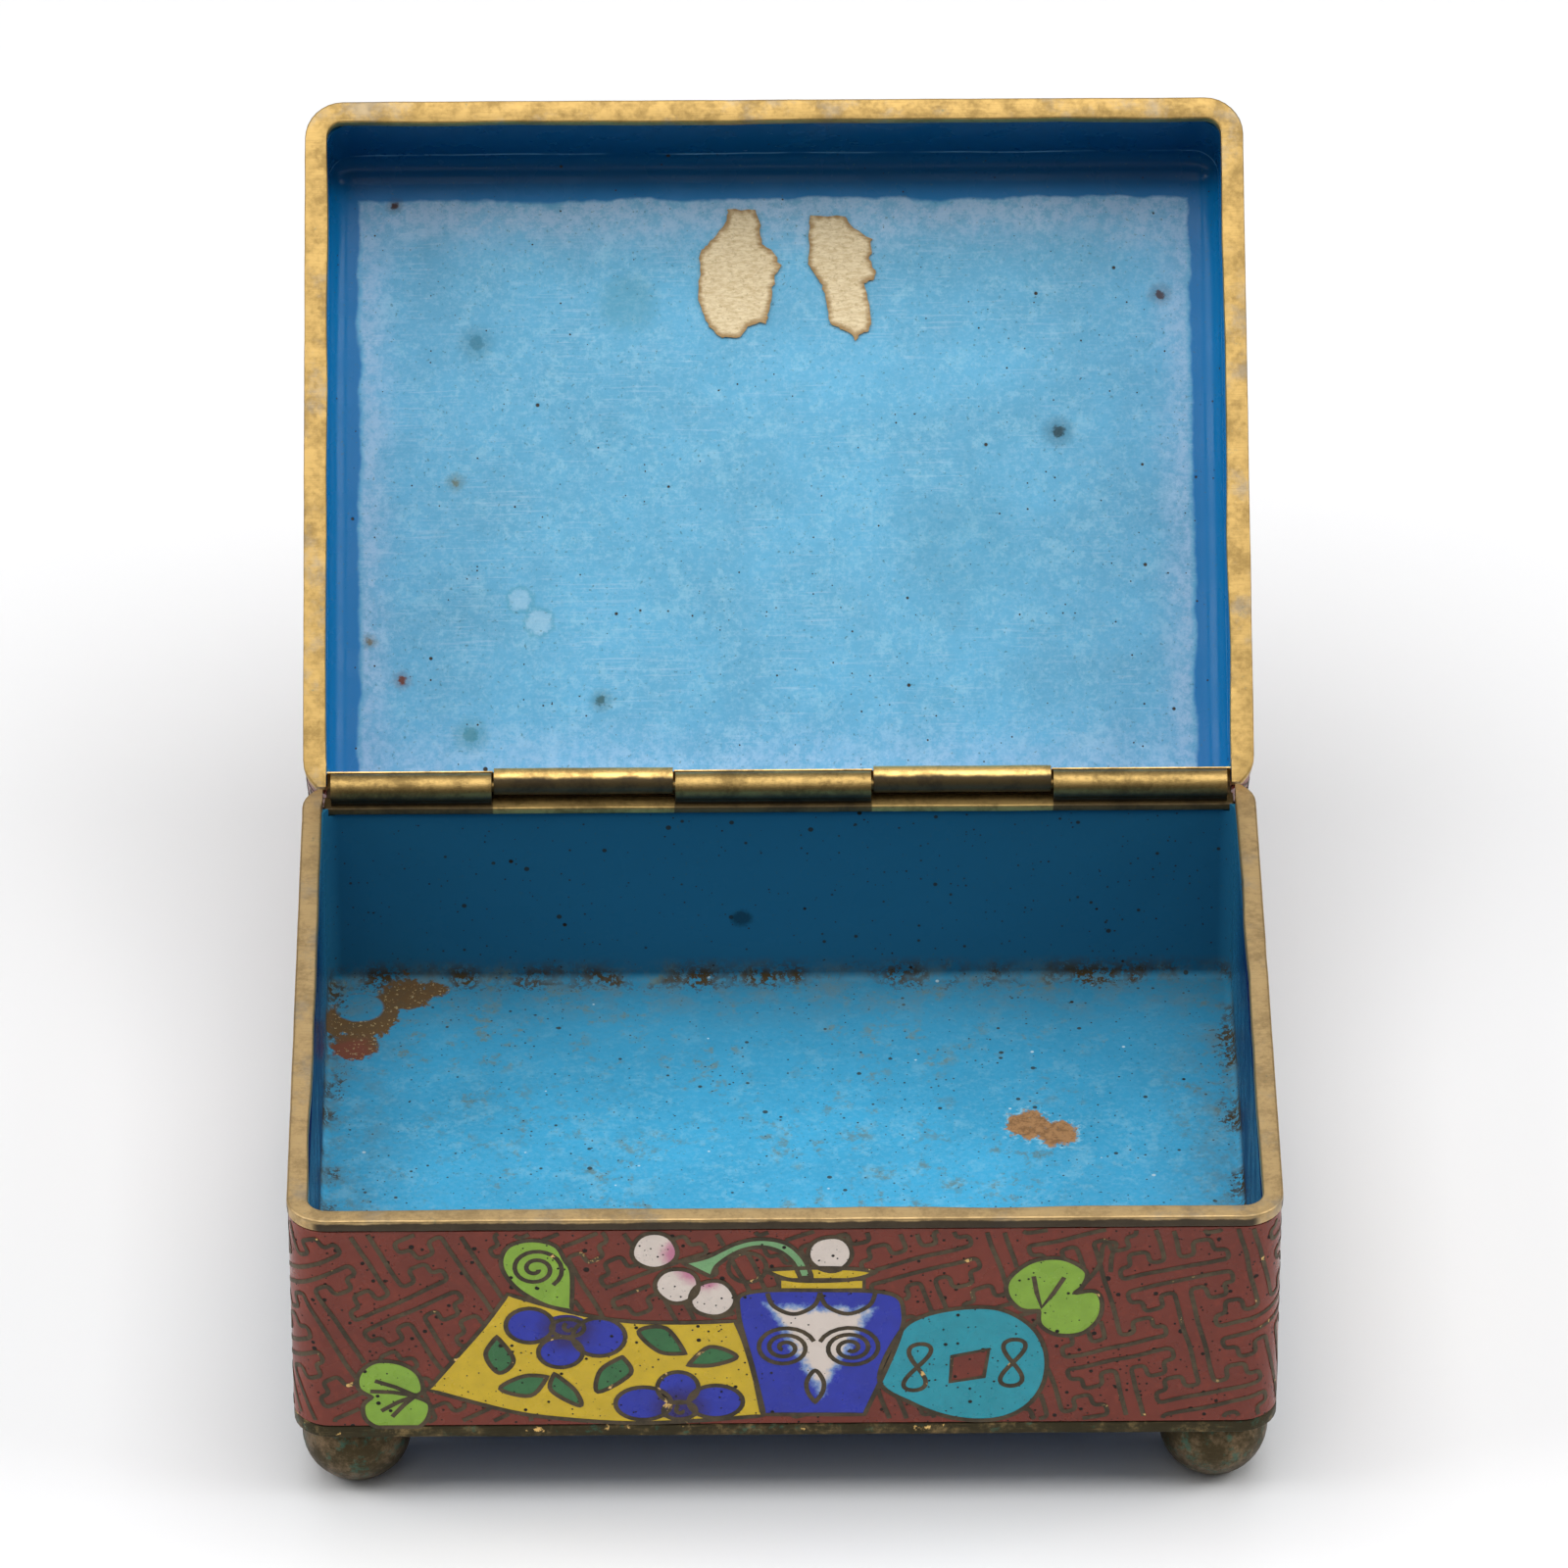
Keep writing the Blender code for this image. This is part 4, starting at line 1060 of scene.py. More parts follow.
def draw_fret(drawing, x_range, z_range, origin, allowed, wrapped=True, seed=0.0):
    """Fills what the motifs leave with the key fret."""
    tile = sizes().fret_tile / MM
    slant = sizes().fret_slant
    unit = tile / 5
    reach = int((x_range[1] - x_range[0] + z_range[1] - z_range[0]) / tile) + 3
    outline = bend(fret_unit(), 0.36, 0.34, True)
    boxes = [
        (min(p[0] for p in shape), max(p[0] for p in shape), min(p[1] for p in shape), max(p[1] for p in shape), shape)
        for shape in drawing.clear
    ]

    def is_free(x, z):
        if not (x_range[0] < x < x_range[1] and z_range[0] < z < z_range[1]) or not allowed(x, z):
            return False
        return not any(
            left <= x <= right and low <= z <= high and inside((x, z), shape) for left, right, low, high, shape in boxes
        )

    for i in range(-reach, reach + 1):
        for j in range(-reach, reach + 1):
            if (i + j) % 2:
                continue
            middle = (i * tile, j * tile)
            run = []
            for px, pz in outline:
                x, z = middle[0] + px * unit, middle[1] + pz * unit
                x, z = (origin[0] + cos(slant) * x - sin(slant) * z, origin[1] + sin(slant) * x + cos(slant) * z)
                if wrapped:
                    x, z = lean_over(x, z)
                shake = noise.noise_vector(Vector((x / 5.0, z / 5.0, seed)))
                x, z = x + 0.34 * shake.x, z + 0.34 * shake.y
                if is_free(x, z):
                    run.append((x, z))
                else:
                    if len(run) > 3:
                        drawing.wires.append((run, False))
                    run = []
            if len(run) > 3:
                drawing.wires.append((run, False))


def cut_curve(name, lines, **settings):
    """A flat curve of straight pieces, in millimetres."""
    lay_down_tools()
    curve = bpy.data.curves.new(name, "CURVE")
    for key, value in settings.items():
        setattr(curve, key, value)
    for line, closed in lines:
        spline = curve.splines.new("POLY")
        spline.points.add(len(line) - 1)
        for point, (x, z) in zip(spline.points, line):
            point.co = (x, z, 0.0, 1.0)
        spline.use_cyclic_u = closed
    obj = bpy.data.objects.new(name, curve)
    bpy.context.scene.collection.objects.link(obj)
    take(obj)
    bpy.ops.object.convert(target="MESH")
    return bpy.context.object


def lay_wires(name, drawing, body, surface, paint):
    """Bends the drawing's wires from round stock, flattens them and lays them on the surface."""
    width, proud = sizes().wire_width / MM, sizes().wire_proud
    lines = []
    for line, closed in drawing.wires:
        clean = [line[0]]
        for point in line[1:]:
            if hypot(point[0] - clean[-1][0], point[1] - clean[-1][1]) > 0.12:
                clean.append(point)
        if closed and hypot(clean[0][0] - clean[-1][0], clean[0][1] - clean[-1][1]) < 0.12:
            clean.pop()
        if len(clean) > 2:
            lines.append((clean, closed))
    obj = cut_curve(
        name, lines, dimensions="3D", twist_mode="Z_UP", bevel_depth=width / 2, bevel_resolution=0,
        use_fill_caps=True, fill_mode="FULL",
    )
    middle = Vector((0, MIDDLES[body], 0))
    for vert in obj.data.vertices:
        x, z, lift = vert.co
        height = proud if lift > 0.1 * width else 0.75 * proud if lift > -0.1 * width else -proud
        vert.co = surface(x * MM, z * MM, height) + middle
    obj.data.update()
    recalculate(obj)
    return place(obj, body, paint, smooth_angle=60)


def recalculate(obj):
    take(obj)
    bpy.ops.object.mode_set(mode="EDIT")
    bpy.ops.mesh.select_all(action="SELECT")
    bpy.ops.mesh.normals_make_consistent(inside=False)
    bpy.ops.object.mode_set(mode="OBJECT")


def fill_cells(prefix, drawing, body, surface, paints):
    """Fills each kind of cell with its enamel."""
    made = {}
    for index, (at, kind, outline, centre, layer) in enumerate(drawing.cells):
        obj = cut_curve(f"{prefix}_{kind}_{index}", [(outline, True)], dimensions="2D", fill_mode="BOTH", extrude=0.5)
        own = obj.data.uv_layers.new(name="cell")
        for loop in obj.data.loops:
            co = obj.data.vertices[loop.vertex_index].co
            own.data[loop.index].uv = (co.x - centre[0], co.y - centre[1])
        top = sizes().cell_proud + 0.006 * MM * layer
        for vert in obj.data.vertices:
            x, z = at(vert.co.x, vert.co.y)
            vert.co = surface(x * MM, z * MM, top if vert.co.z > 0 else -0.06 * MM) + Vector((0, MIDDLES[body], 0))
        recalculate(obj)
        made.setdefault(kind, []).append(obj)
    for kind, objs in made.items():
        take(objs[0])
        for obj in objs:
            obj.select_set(True)
        if len(objs) > 1:
            bpy.ops.object.join()
        objs[0].name = objs[0].data.name = f"{prefix}_{kind}_cells"
        place(objs[0], body, paints[kind], smooth_angle=30)


# ---------------------------------------------------------------- the operators


class MakerOperator:
    """What the box's operators share."""

    bl_options = {"REGISTER", "UNDO"}

    def execute(self, context):
        self.make(context.scene)
        lay_down_tools()
        return {"FINISHED"}


PAINTS = {}


class CLOISONNE_OT_mix_paints(MakerOperator, bpy.types.Operator):
    """Mix the enamels, metals and paper"""

    bl_idname = "cloisonne.mix_paints"
    bl_label = "Mix paints"

    def make(self, scene):
        tint = colours()
        for where in ("base", "lid"):
            PAINTS[where] = {
                "ground": mix_ground(where),
                "yellow": mix_cell("yellow", where, tint.yellow, 0.12, fringe=(0.42, 0.24, 0.03)),
                "petal": mix_cell("petal_blue", where, tint.blue, 0.15, (0.022, 0.012, 0.15), (1.6, 4.6)),
                "vase": mix_vase(where),
                "turquoise": mix_cell("turquoise", where, tint.turquoise, 0.14),
                "lime": mix_cell("lime", where, tint.lime, 0.16, fringe=(0.16, 0.34, 0.07)),
                "green": mix_cell("leaf_green", where, tint.green, 0.2),
                "stem": mix_cell("stem_green", where, (0.22, 0.46, 0.20), 0.15),
                "fruit": mix_cell("fruit_white", where, tint.white, 0.06, (0.62, 0.22, 0.34), (1.0, 3.0), (0.34, 0.30, 0.27)),
                "wire": mix_metal("cell_wire", where, (0.100, 0.070, 0.036), (0.050, 0.038, 0.021), 0.5, (0.5, 0.65), flecks=0.42, metallic=0.4),
                "rim": mix_rim(where, tint.base_gilt if where == "base" else tint.lid_gilt),
                "band": mix_metal("worn_band", where, (0.26, 0.18, 0.08), (0.05, 0.042, 0.024), 0.72, (0.35, 0.6),
                                  green=0.3, flecks=0.6),
                "hinge": mix_hinge(where),
            }
        PAINTS["leaf"] = mix_hinge("base", leaf=True)
        PAINTS["foot"] = mix_metal("foot_patina", "base", (0.20, 0.135, 0.075), tint.patina, 0.60, (0.34, 0.62), green=0.9, metallic=0.85)
        PAINTS["copper"] = mix_metal("sheet_copper", "base", (0.60, 0.28, 0.14), (0.16, 0.08, 0.05), 0.5, (0.35, 0.6))
        PAINTS["base_lining"] = mix_lining(
            "base_lining_blue", "base", 4.1, 1.0, tint.base_floor, tint.base_wall, base_stains_and_shade
        )
        PAINTS["lid_lining"] = mix_lining(
            "lid_lining_blue", "lid", 17.15, -1.0, tint.lid_flat, tint.lid_wall, lid_stains_and_light
        )
        PAINTS["underside"] = mix_cell("deep_blue", "base", (0.010, 0.055, 0.15), 0.3)
        PAINTS["paper"] = mix_paper()


class CLOISONNE_OT_dress_shells(MakerOperator, bpy.types.Operator):
    """Give the copper trays under the enamel their metal"""

    bl_idname = "cloisonne.dress_shells"
    bl_label = "Copper trays"

    def make(self, scene):
        for name in ("base_shell", "lid_shell"):
            node = frame["nodes"][name]
            node.data.materials.clear()
            node.data.materials.append(PAINTS["copper"])


class CLOISONNE_OT_fire_linings(MakerOperator, bpy.types.Operator):
    """Line the base and the lid with blue enamel"""

    bl_idname = "cloisonne.fire_linings"
    bl_label = "Blue linings"

    def make(self, scene):
        step = sizes().skin + FILM
        uneven = sizes().unevenness
        base_top = RIM_TOP - 1.6 * MM - FILM
        base = tray("base_lining_enamel", 0, 2 * step, 2.4 * MM, (3.1 * MM, base_top), (4.1 * MM, base_top + 10 * MM),
                    2.45 * MM, 1.9 * MM, 1.1 * MM, 4.1 * MM)
        room = block("hinge_room", 57.7 * MM, 5 * MM, AXIS_Y - 2.0 * MM + 5 * MM, (AXIS_Z - 3.15 * MM, AXIS_Z + 10 * MM), 0.01 * MM, 1)
        carve(base, room)
        slice_up(base, 4 * MM)
        wave(base, uneven, 16 * MM, 1.0, lambda co: 3.9 * MM < co.z < 28 * MM)
        place(base, "base", PAINTS["base_lining"], ["base_lining"])

        lid = tray("lid_lining_enamel", -AXIS_Y, 2 * step, 2.4 * MM, (1.9 * MM, 17.85 * MM), (-8 * MM, 17.15 * MM),
                   2.45 * MM, 3.4 * MM, sizes().cove, 17.15 * MM)
        room = block("hinge_room", 57.3 * MM, 5 * MM, -2.25 * MM + 5 * MM, (-8 * MM, 3.15 * MM), 0.01 * MM, 1)
        carve(lid, room)
        slice_up(lid, 4 * MM)
        wave(lid, uneven, 14 * MM, 2.0, lambda co: 4 * MM < co.z < 17.4 * MM)
        place(lid, "lid", PAINTS["lid_lining"], ["lid_lining"])


class CLOISONNE_OT_fire_walls(MakerOperator, bpy.types.Operator):
    """Coat the outside with brick red enamel, and the underside with blue"""

    bl_idname = "cloisonne.fire_walls"
    bl_label = "Enamel walls, top and underside"

    def make(self, scene):
        skin = sizes().skin
        base = hoop("base_wall_ground", 0, skin, 0, (1.85 * MM, 31.25 * MM), pitch=6 * MM)
        carve(base, block("hinge_room", 57.7 * MM, 5 * MM, AXIS_Y - 2.0 * MM + 5 * MM, (AXIS_Z - 3.15 * MM, AXIS_Z + 10 * MM), 0.01 * MM, 1))
        place(base, "base", PAINTS["base"]["ground"], ["base_wall_enamel"])
        lid = hoop("lid_wall_ground", 0, skin, -AXIS_Y, (1.9 * MM, 17.45 * MM), pitch=6 * MM)
        carve(lid, block("hinge_room", 57.3 * MM, 5 * MM, -2.25 * MM + 5 * MM, (-8 * MM, 3.15 * MM), 0.01 * MM, 1))
        place(lid, "lid", PAINTS["lid"]["ground"], ["lid_wall_enamel"])

        inset = skin + FILM
        top = block("lid_top_ground", HALF_X - inset, HALF_Y - inset, -AXIS_Y, (18.7 * MM, 19.3 * MM), CORNER - inset)
        soften_edges(top, 0.12 * MM)
        slice_up(top, 5 * MM)
        place(top, "lid", PAINTS["lid"]["ground"], ["lid_top_enamel"])
        under = block("underside_glaze", HALF_X - inset, HALF_Y - inset, 0, (1.0 * MM, 1.8 * MM), CORNER - inset)
        soften_edges(under, 0.12 * MM)
        slice_up(under, 5 * MM)
        wave(under, 0.04 * MM, 12 * MM, 3.0, lambda co: co.z < 1.3 * MM)
        place(under, "base", PAINTS["underside"], ["base_underside_enamel"])


class CLOISONNE_OT_decorate_base(MakerOperator, bpy.types.Operator):
    """Lay the fret and the motifs on the base's walls"""

    bl_idname = "cloisonne.decorate_base"
    bl_label = "Base's wires and cells"

    def make(self, scene):
        drawing = Drawing()
        draw_scroll(drawing, as_drawn)
        draw_curl(drawing, as_drawn)
        draw_small_leaf(drawing, as_drawn)
        draw_fruits(drawing, as_drawn)
        draw_vase(drawing, as_drawn)
        draw_oval(drawing, as_drawn)
        draw_heart_leaf(drawing, as_drawn)
        side = (STRAIGHT_X + ARC + STRAIGHT_Y) / MM
        draw_scroll(drawing, moved(side - 8, 16.5, 0.92, (-23, 11.5), True))
        draw_heart_leaf(drawing, moved(side + 24, 17, 1.0, (32.5, 21)))
        draw_oval(drawing, moved(-side + 10, 16.5, 1.0, (21.5, 10.7)))
        draw_curl(drawing, moved(-side - 14, 17, 1.1, (-30, 24.5), True))
        half = HALF_ROUND / MM
        for sign in (-1, 1):
            draw_heart_leaf(drawing, moved(sign * (half - 15), 14, 1.0, (32.5, 21), sign > 0))
            draw_curl(drawing, moved(sign * (half - 40), 16, 1.1, (-30, 24.5), sign < 0))

        def allowed(x, z):
            return abs(x) < half - 62 or z < 29.0
        draw_fret(drawing, (-half, half), (2.25, 31.0), (49.85, 18.62), allowed)
        lay_wires("base_wires", drawing, "base", round_the_wall, PAINTS["base"]["wire"])
        fill_cells("base", drawing, "base", round_the_wall, PAINTS["base"])


class CLOISONNE_OT_decorate_lid(MakerOperator, bpy.types.Operator):
    """Lay the fret and the motifs on the lid's walls and top"""

    bl_idname = "cloisonne.decorate_lid"
    bl_label = "Lid's wires and cells"

    def make(self, scene):
        half = HALF_ROUND / MM
        side = (STRAIGHT_X + ARC + STRAIGHT_Y) / MM
        drawing = Drawing()
        for x, mirrored in ((-30, False), (22, True), (side, False), (-side, True), (half - 30, False), (30 - half, True)):
            draw_heart_leaf(drawing, moved(x, 9.6, 0.8, (32.5, 21), mirrored))
            draw_curl(drawing, moved(x + (22 if mirrored else -20), 9.6, 0.85, (-30, 24.5), not mirrored))

        def allowed(x, z):
            return abs(x) < half - 62 or z > 3.6
        draw_fret(drawing, (-half, half), (2.3, 17.2), (12.0, 8.0), allowed, seed=3.0)
        lay_wires("lid_wall_wires", drawing, "lid", round_the_wall, PAINTS["lid"]["wire"])
        fill_cells("lid_wall", drawing, "lid", round_the_wall, PAINTS["lid"])

        top = Drawing()
        draw_vase(top, moved(0, -6, 1.75, (4.3, 14)))
        draw_fruits(top, moved(0, -6, 1.75, (4.3, 14)))
        draw_scroll(top, moved(-35, -20, 1.0, (-23, 11.5)))
        draw_oval(top, moved(34, 16, 1.25, (21.5, 10.7)))
        draw_heart_leaf(top, moved(33, -20, 1.3, (32.5, 21)))
        draw_curl(top, moved(-46, 5, 1.4, (-30, 24.5)))
        x_edge, y_edge = (HALF_X - 1.4 * MM) / MM, (HALF_Y - 1.4 * MM) / MM
        draw_fret(top, (-x_edge, x_edge), (-y_edge, y_edge), (0, 0), lambda x, z: True, False, 7.0)
        lay_wires("lid_top_wires", top, "lid", over_the_top, PAINTS["lid"]["wire"])
        fill_cells("lid_top", top, "lid", over_the_top, PAINTS["lid"])


def rim_strip(name, middle_y, z_range, width, paint, body, seed):
    """A hand-filed rim, open at the back for the hinge."""
    rim = hoop(name, RIM_PROUD, width, middle_y, z_range, edge=0.28 * MM)
    axis_y = middle_y + AXIS_Y
    low, high = z_range
    beyond = 10 * MM
    inner = HALF_X - width + RIM_PROUD
    carve(rim, block("rim_end", 80 * MM, beyond / 2, axis_y - FILM + beyond / 2, (low - beyond, high + beyond), 0.01 * MM, 1))
    carve(rim, block("rim_gap", inner, beyond / 2 + width, axis_y + beyond / 2 - width / 2, (low - beyond, high + beyond), 0.01 * MM, 1))
    inner_edge = (HALF_X - width * 0.6, HALF_Y - width * 0.6)

    def is_inside(co):
        return abs(co.x) < inner_edge[0] and abs(co.y - middle_y) < inner_edge[1] and co.y < axis_y - 3 * MM
    wave(rim, 0.22 * MM, 13 * MM, seed, is_inside)
    wave(rim, 0.05 * MM, 5 * MM, seed + 1, lambda co: co.y < axis_y - 3 * MM)
    return place(rim, body, paint, [body + "_rim"], 40)


class CLOISONNE_OT_fit_strips(MakerOperator, bpy.types.Operator):
    """Fit the gilt rims and the bands at the foot and the top"""

    bl_idname = "cloisonne.fit_strips"
    bl_label = "Rims and bands"

    def make(self, scene):
        rim_strip("base_rim_strip", 0, (31.4 * MM, 33.0 * MM), 2.5 * MM, PAINTS["base"]["rim"], "base", 4.0)
        rim_strip("lid_rim_strip", -AXIS_Y, (0.15 * MM, 1.75 * MM), 2.9 * MM, PAINTS["lid"]["rim"], "lid", 6.0)
        foot = hoop("base_foot_strip", 0, sizes().skin, 0, (0, 1.7 * MM), edge=0.16 * MM)
        wave(foot, 0.07 * MM, 6 * MM, 8.0)
        place(foot, "base", PAINTS["base"]["band"], ["base_foot_band"])
        top = hoop("lid_top_strip", 0, sizes().skin, -AXIS_Y, (17.6 * MM, 19.3 * MM), edge=0.16 * MM)
        wave(top, 0.05 * MM, 6 * MM, 9.0)
        place(top, "lid", PAINTS["lid"]["band"], ["lid_top_band"])


class CLOISONNE_OT_build_hinge(MakerOperator, bpy.types.Operator):
    """Solder the hinge's strips, roll its knuckles and push in the pin"""

    bl_idname = "cloisonne.build_hinge"
    bl_label = "Hinge"

    def make(self, scene):
        self.base_leaf()
        self.lid_leaf()
        for name in frame["nodes"]:
            if "knuckle" in name:
                self.knuckle(name, name.split("_")[0])
        self.pin()

    def base_leaf(self):
        """The strip soldered along the back wall, with a ledge under the lid's knuckles."""
        half_y = 1.375 * MM
        leaf = block("base_hinge_leaf", 57.55 * MM, half_y, AXIS_Y - 1.85 * MM + half_y,
                     (AXIS_Z - 3.0 * MM, AXIS_Z - 2.0 * MM), 0.3 * MM, 3)
        soften_edges(leaf, 0.20 * MM)
        slice_up(leaf, 5 * MM, "x")
        wave(leaf, 0.05 * MM, 9 * MM, 10.0)
        place(leaf, "base", PAINTS["leaf"], ["base_hinge_strip"])

    def copy_of(self, node, name):
        """A welded copy of a solid, in place."""
        lay_down_tools()
        mesh = frame["nodes"][node].data.copy()
        obj = bpy.data.objects.new(name, mesh)
        mesh.name = name
        scene = bpy.context.scene
        scene.collection.objects.link(obj)
        take(obj)
        bpy.ops.object.mode_set(mode="EDIT")
        bpy.ops.mesh.select_all(action="SELECT")
        bpy.ops.mesh.remove_doubles(threshold=0.002 * MM)
        bpy.ops.mesh.dissolve_limited(angle_limit=radians(1.0))
        bpy.ops.object.mode_set(mode="OBJECT")
        for attribute in ("custom_normal", "sharp_edge", "sharp_face"):
            if attribute in obj.data.attributes:
                obj.data.attributes.remove(obj.data.attributes[attribute])
        return obj

    def lid_leaf(self):
        leaf = self.copy_of("lid_hinge_strip", "lid_hinge_leaf")
        soften_edges(leaf, 0.10 * MM, angle=55, steps=2)
        finish(leaf, "lid", PAINTS["lid"]["hinge"], ["lid_hinge_strip"])

    def knuckle(self, node, body):
        """A rolled tube with the pin's bore. The base's tubes have a foot that meets their leaf."""
        low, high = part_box(node)
        length = high.x - low.x
        lean, rise, radius = (-0.10, -0.02, 1.78) if body == "base" else (0.35, 0.55, 1.68)
        middle = Vector(((low.x + high.x) / 2, PIVOT.y + lean * MM, PIVOT.z + rise * MM))
        tube = self.rod(node.replace("knuckle", "tube"), radius * MM, length, middle)
        if body == "base":
            lay_down_tools()
            bpy.ops.mesh.primitive_cube_add(size=1, location=middle + Vector((0, 0, -1.15)) * MM)
            foot = bpy.context.object
            foot.scale = (length, 2.2 * MM, 2.3 * MM)
            bpy.ops.object.transform_apply(location=True, rotation=True, scale=True)
            union = tube.modifiers.new("foot", "BOOLEAN")
            union.operation = "UNION"
            union.solver = "EXACT"
            union.object = foot
            apply_all(tube)
            bpy.data.objects.remove(foot, do_unlink=True)
        bore = self.rod("bore", 0.74 * MM, length + 2 * MM, Vector((middle.x, PIVOT.y, PIVOT.z)))
        carve(tube, bore)
        soften_edges(tube, 0.14 * MM, angle=60)
        slice_up(tube, 2.5 * MM, "x")
        wave(tube, 0.045 * MM, 3.5 * MM, 11.0, lambda co: low.x + 0.4 * MM < co.x < high.x - 0.4 * MM)
        finish(tube, body, PAINTS[body]["hinge"], [node])

    def rod(self, name, radius, length, middle):
        lay_down_tools()
        bpy.ops.mesh.primitive_cylinder_add(
            vertices=48, radius=radius, depth=length, location=middle, rotation=(0, radians(90), 0)
        )
        obj = bpy.context.object
        obj.name = obj.data.name = name
        bpy.ops.object.transform_apply(location=True, rotation=True, scale=True)
        return obj

    def pin(self):
        low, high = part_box("hinge_pin")
        pin = self.rod("pin_wire", (high.z - low.z) / 2, high.x - low.x, (low + high) / 2)
        soften_edges(pin, 0.15 * MM)
        finish(pin, "base", PAINTS["base"]["hinge"], ["hinge_pin"])


def finish(obj, body, paint, replaces=(), smooth_angle=35):
    """Paints and attaches a piece that is already in its place."""
    take(obj)
    bpy.ops.object.shade_smooth_by_angle(angle=radians(smooth_angle))
    return dress(obj, body, paint, replaces)


class CLOISONNE_OT_turn_feet(MakerOperator, bpy.types.Operator):
    """Turn the four ball feet"""

    bl_idname = "cloisonne.turn_feet"
    bl_label = "Ball feet"

    def make(self, scene):
        nodes = sorted(name for name in frame["nodes"] if name.startswith("foot_"))
        pattern = self.turn(nodes[0])
        first = sum(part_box(nodes[0]), Vector()) / 2
        for index, node in enumerate(nodes):
            ball = pattern.copy()
            ball.data = pattern.data.copy()
            ball.name = ball.data.name = node.replace("foot", "ball")
            scene.collection.objects.link(ball)
            ball.data.transform(Matrix.Translation(sum(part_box(node), Vector()) / 2 - first))
            low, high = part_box(node)
            wave(ball, 0.10 * MM, 5 * MM, 20.0 + index, lambda co: low.z + 0.5 * MM < co.z < high.z - 0.5 * MM)
            finish(ball, "base", PAINTS["foot"], [node], 60)
        bpy.data.objects.remove(pattern, do_unlink=True)

    def turn(self, node):
        """A ball cut flat where it stands and where it meets the box."""
        low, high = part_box(node)
        lay_down_tools()
        bpy.ops.mesh.primitive_uv_sphere_add(
            segments=48, ring_count=32, radius=(high.x - low.x) / 2,
            location=((low.x + high.x) / 2, (low.y + high.y) / 2, UNDERSIDE_Z - 3.95 * MM),
        )
        ball = bpy.context.object
        bpy.ops.object.transform_apply(location=True, rotation=True, scale=True)
        bpy.ops.object.mode_set(mode="EDIT")
        for height, up in ((low.z, False), (high.z, True)):
            bpy.ops.mesh.select_all(action="SELECT")
            bpy.ops.mesh.bisect(
                plane_co=(0, 0, height), plane_no=(0, 0, 1), use_fill=True, clear_inner=not up, clear_outer=up
            )
        bpy.ops.object.mode_set(mode="OBJECT")
        soften_edges(ball, 0.2 * MM, angle=45)
        return ball


class CLOISONNE_OT_paste_paper(MakerOperator, bpy.types.Operator):
    """Leave the two torn bits of paper in the lid"""

    bl_idname = "cloisonne.paste_paper"
    bl_label = "Paper remnants"

    def make(self, scene):
        left = [(-5.9, 81.8), (-2.4, 81.8), (-1.8, 79.8), (-1.6, 77.1), (-0.2, 76.4), (0.8, 74.1), (0.0, 72.4),
                (-0.3, 70.0), (-0.8, 67.9), (-1.1, 66.3), (-2.2, 66.5), (-3.4, 65.9), (-4.4, 64.5), (-6.9, 64.5),
                (-8.4, 65.9), (-9.4, 68.0), (-9.9, 70.0), (-9.6, 72.9), (-9.6, 76.1), (-8.6, 77.1), (-7.0, 79.0),
                (-6.1, 80.2)]
        right = [(4.7, 81.0), (9.3, 80.8), (9.7, 79.9), (12.6, 77.6), (12.6, 76.0), (12.2, 75.0), (13.1, 73.5),
                 (12.7, 72.1), (11.6, 71.9), (12.3, 68.9), (12.5, 66.2), (12.1, 65.2), (10.9, 64.9), (10.5, 64.0),
                 (10.0, 64.9), (8.4, 65.7), (7.2, 66.3), (6.7, 69.1), (6.2, 71.6), (5.4, 72.8), (4.4, 74.4),
                 (4.6, 76.2), (4.6, 79.1)]
        for side, outline in (("left", left), ("right", right)):
            outline = [(x, -y) for x, y in outline]
            torn = []
            for start, end in zip(outline, outline[1:] + outline[:1]):
                for share in (0.0, 0.25, 0.5, 0.75):
                    x, y = start[0] + (end[0] - start[0]) * share, start[1] + (end[1] - start[1]) * share
                    shake = noise.noise_vector(Vector((x * 1.7, y * 1.7, 5.0)))
                    torn.append((x + 0.30 * shake.x, y + 0.30 * shake.y))
            self.paper("paper_" + side, torn, "label_remnant_" + side)

    def paper(self, name, outline, node):
        obj = cut_curve(name, [(outline, True)], dimensions="2D", fill_mode="BOTH", extrude=0.05)
        recalculate(obj)
        bpy.ops.object.mode_set(mode="EDIT")
        choose("faces", lambda face: abs(face.normal.z) > 0.9)
        for _ in range(3):
            bpy.ops.mesh.select_all(action="SELECT")
            bpy.ops.mesh.quads_convert_to_tris()
            bpy.ops.mesh.subdivide(number_cuts=1)
        bpy.ops.object.mode_set(mode="OBJECT")
        rim = obj.data.uv_layers.new(name="edge")
        for loop in obj.data.loops:
            co = obj.data.vertices[loop.vertex_index].co
            gap = min(hypot(co.x - x, co.y - y) for x, y in outline)
            rim.data[loop.index].uv = (gap, 0.0)
        for vert in obj.data.vertices:
            curl = 0.05 * noise.noise(Vector((vert.co.x / 1.5, vert.co.y / 1.5, 2.0)))
            lift = 16.98 if vert.co.z > 0 else 16.90
            vert.co = Vector((vert.co.x, vert.co.y, lift + curl)) * MM
        place(obj, "lid", PAINTS["paper"], [node])


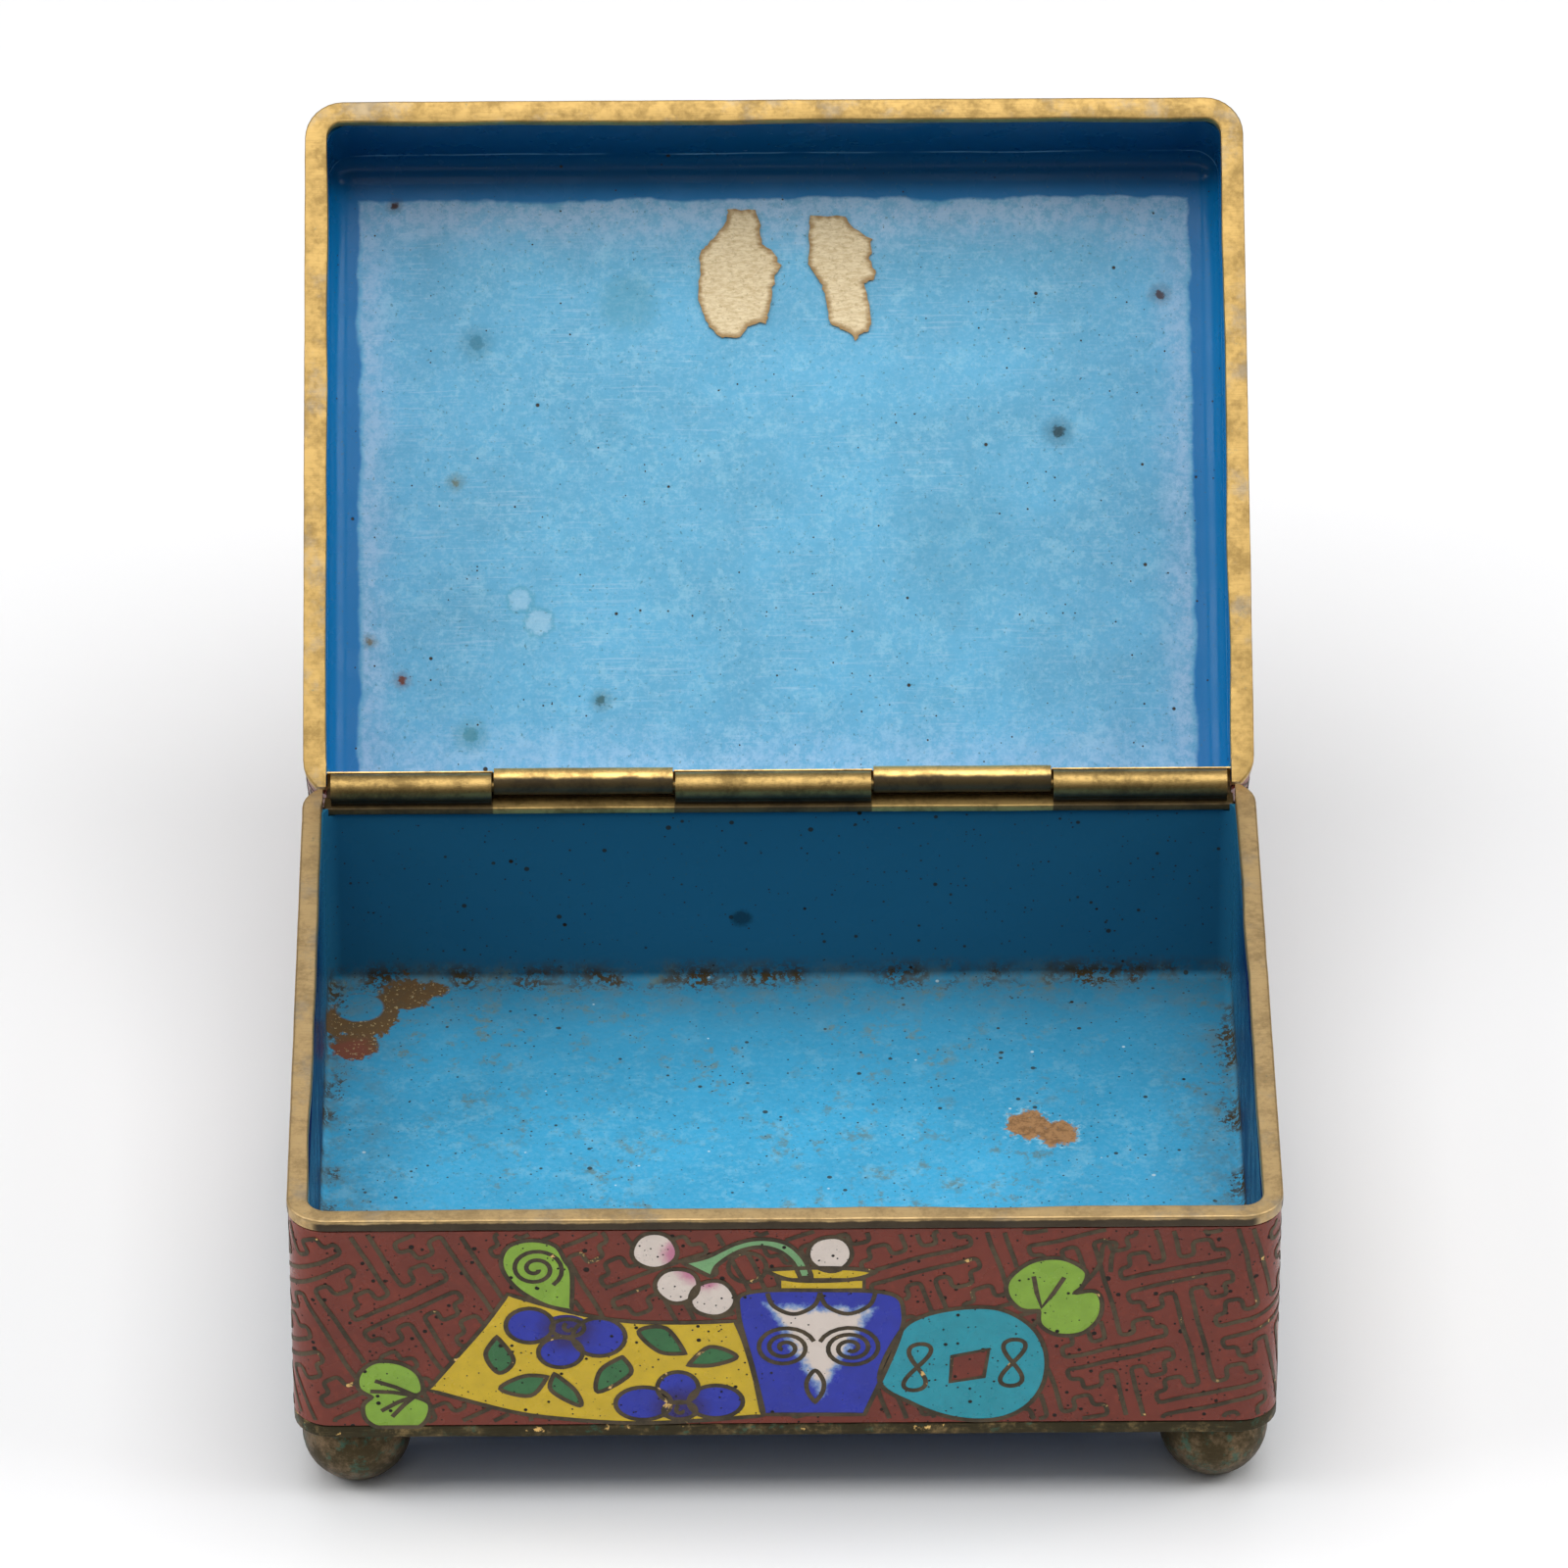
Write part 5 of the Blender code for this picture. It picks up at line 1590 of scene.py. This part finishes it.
class CLOISONNE_OT_set_stage(MakerOperator, bpy.types.Operator):
    """Lay the floor, hang the lights and set up the camera"""

    bl_idname = "cloisonne.set_stage"
    bl_label = "Stage"

    def make(self, scene):
        stage = scene.cloisonne_stage
        lay_down_tools()
        bpy.ops.mesh.primitive_plane_add(size=8, location=(0, 1.5, 0))
        floor = bpy.context.object
        floor.name = floor.data.name = "floor"
        paper = Paint("pale_paper", "base")
        tone = paper.mix(paper.cloud(60.0, 3.0), (0.885, 0.89, 0.90), (0.90, 0.90, 0.905))
        floor.data.materials.append(paper.set(Base_Color=tone, Roughness=0.7))

        self.light("overhead", (0, -0.10, 1.25), (0, -0.02, 0), 1.3, 1.1, stage.overhead)
        self.light("left", (-1.05, -0.10, 0.80), (0, 0, 0.03), 0.8, 0.7, stage.sides)
        self.light("right", (1.05, -0.10, 0.80), (0, 0, 0.03), 0.8, 0.7, stage.sides)
        self.light("back", (0, 1.6, 1.15), (0, 0.1, 0), 1.4, 0.7, stage.back)
        self.light("front", (-0.25, -1.3, 1.45), (0, 0, 0.05), 1.2, 0.9, stage.front)

        world = bpy.data.worlds.new("studio")
        world.use_nodes = True
        world.node_tree.nodes["Background"].inputs["Color"].default_value = (1.0, 1.0, 1.0, 1.0)
        world.node_tree.nodes["Background"].inputs["Strength"].default_value = stage.ambient
        scene.world = world
        scene.view_settings.view_transform = "Standard"

        looking = Vector((-sin(stage.azimuth) * cos(stage.elevation), cos(stage.azimuth) * cos(stage.elevation), -sin(stage.elevation)))
        right = Vector((cos(stage.azimuth), sin(stage.azimuth), 0))
        up = right.cross(looking)
        rolled_right = cos(stage.roll) * right + sin(stage.roll) * up
        rolled_up = -sin(stage.roll) * right + cos(stage.roll) * up
        aim = Vector((0.272 * MM, BOX_Y, UNDERSIDE_Z + stage.aim_height))
        data = bpy.data.cameras.new("camera")
        data.sensor_width = 36.0
        data.lens = stage.lens
        data.clip_end = 100.0
        camera = bpy.data.objects.new("camera", data)
        turn = Matrix((rolled_right, rolled_up, -looking)).transposed().to_4x4()
        camera.matrix_world = Matrix.Translation(aim - looking * stage.distance) @ turn
        scene.collection.objects.link(camera)
        scene.camera = camera

    def light(self, name, location, aim, wide, deep, power):
        data = bpy.data.lights.new(name, "AREA")
        data.shape = "RECTANGLE"
        data.size, data.size_y = wide, deep
        data.energy = power
        lamp = bpy.data.objects.new(name, data)
        lamp.location = location
        lamp.rotation_euler = (Vector(aim) - Vector(location)).to_track_quat("-Z", "Y").to_euler()
        bpy.context.scene.collection.objects.link(lamp)


STEPS = (
    CLOISONNE_OT_mix_paints,
    CLOISONNE_OT_dress_shells,
    CLOISONNE_OT_fire_linings,
    CLOISONNE_OT_fire_walls,
    CLOISONNE_OT_decorate_base,
    CLOISONNE_OT_decorate_lid,
    CLOISONNE_OT_fit_strips,
    CLOISONNE_OT_build_hinge,
    CLOISONNE_OT_turn_feet,
    CLOISONNE_OT_paste_paper,
    CLOISONNE_OT_set_stage,
)


class CLOISONNE_PT_bench(bpy.types.Panel):
    """The steps of finishing the box, in order"""

    bl_idname = "CLOISONNE_PT_bench"
    bl_label = "Cloisonne Box"
    bl_space_type = "VIEW_3D"
    bl_region_type = "UI"
    bl_category = "Cloisonne Box"

    def draw(self, context):
        layout = self.layout
        for group in (
            context.scene.cloisonne_sizes, context.scene.cloisonne_colours, context.scene.cloisonne_stage
        ):
            column = layout.box().column()
            for name in group.__annotations__:
                column.prop(group, name)
        for step in STEPS:
            layout.operator(step.bl_idname)


GROUPS = {"cloisonne_sizes": BoxSizes, "cloisonne_colours": BoxColours, "cloisonne_stage": StageSettings}


def register():
    for cls in (*GROUPS.values(), *STEPS, CLOISONNE_PT_bench):
        bpy.utils.register_class(cls)
    for name, group in GROUPS.items():
        setattr(bpy.types.Scene, name, bpy.props.PointerProperty(type=group))


def unregister():
    for name in GROUPS:
        delattr(bpy.types.Scene, name)
    for cls in (CLOISONNE_PT_bench, *reversed(STEPS), *reversed(GROUPS.values())):
        bpy.utils.unregister_class(cls)


def main():
    register()
    for step in STEPS:
        group, name = step.bl_idname.split(".")
        getattr(getattr(bpy.ops, group), name)()
    bpy.context.view_layer.update()


if __name__ == "__main__":
    main()
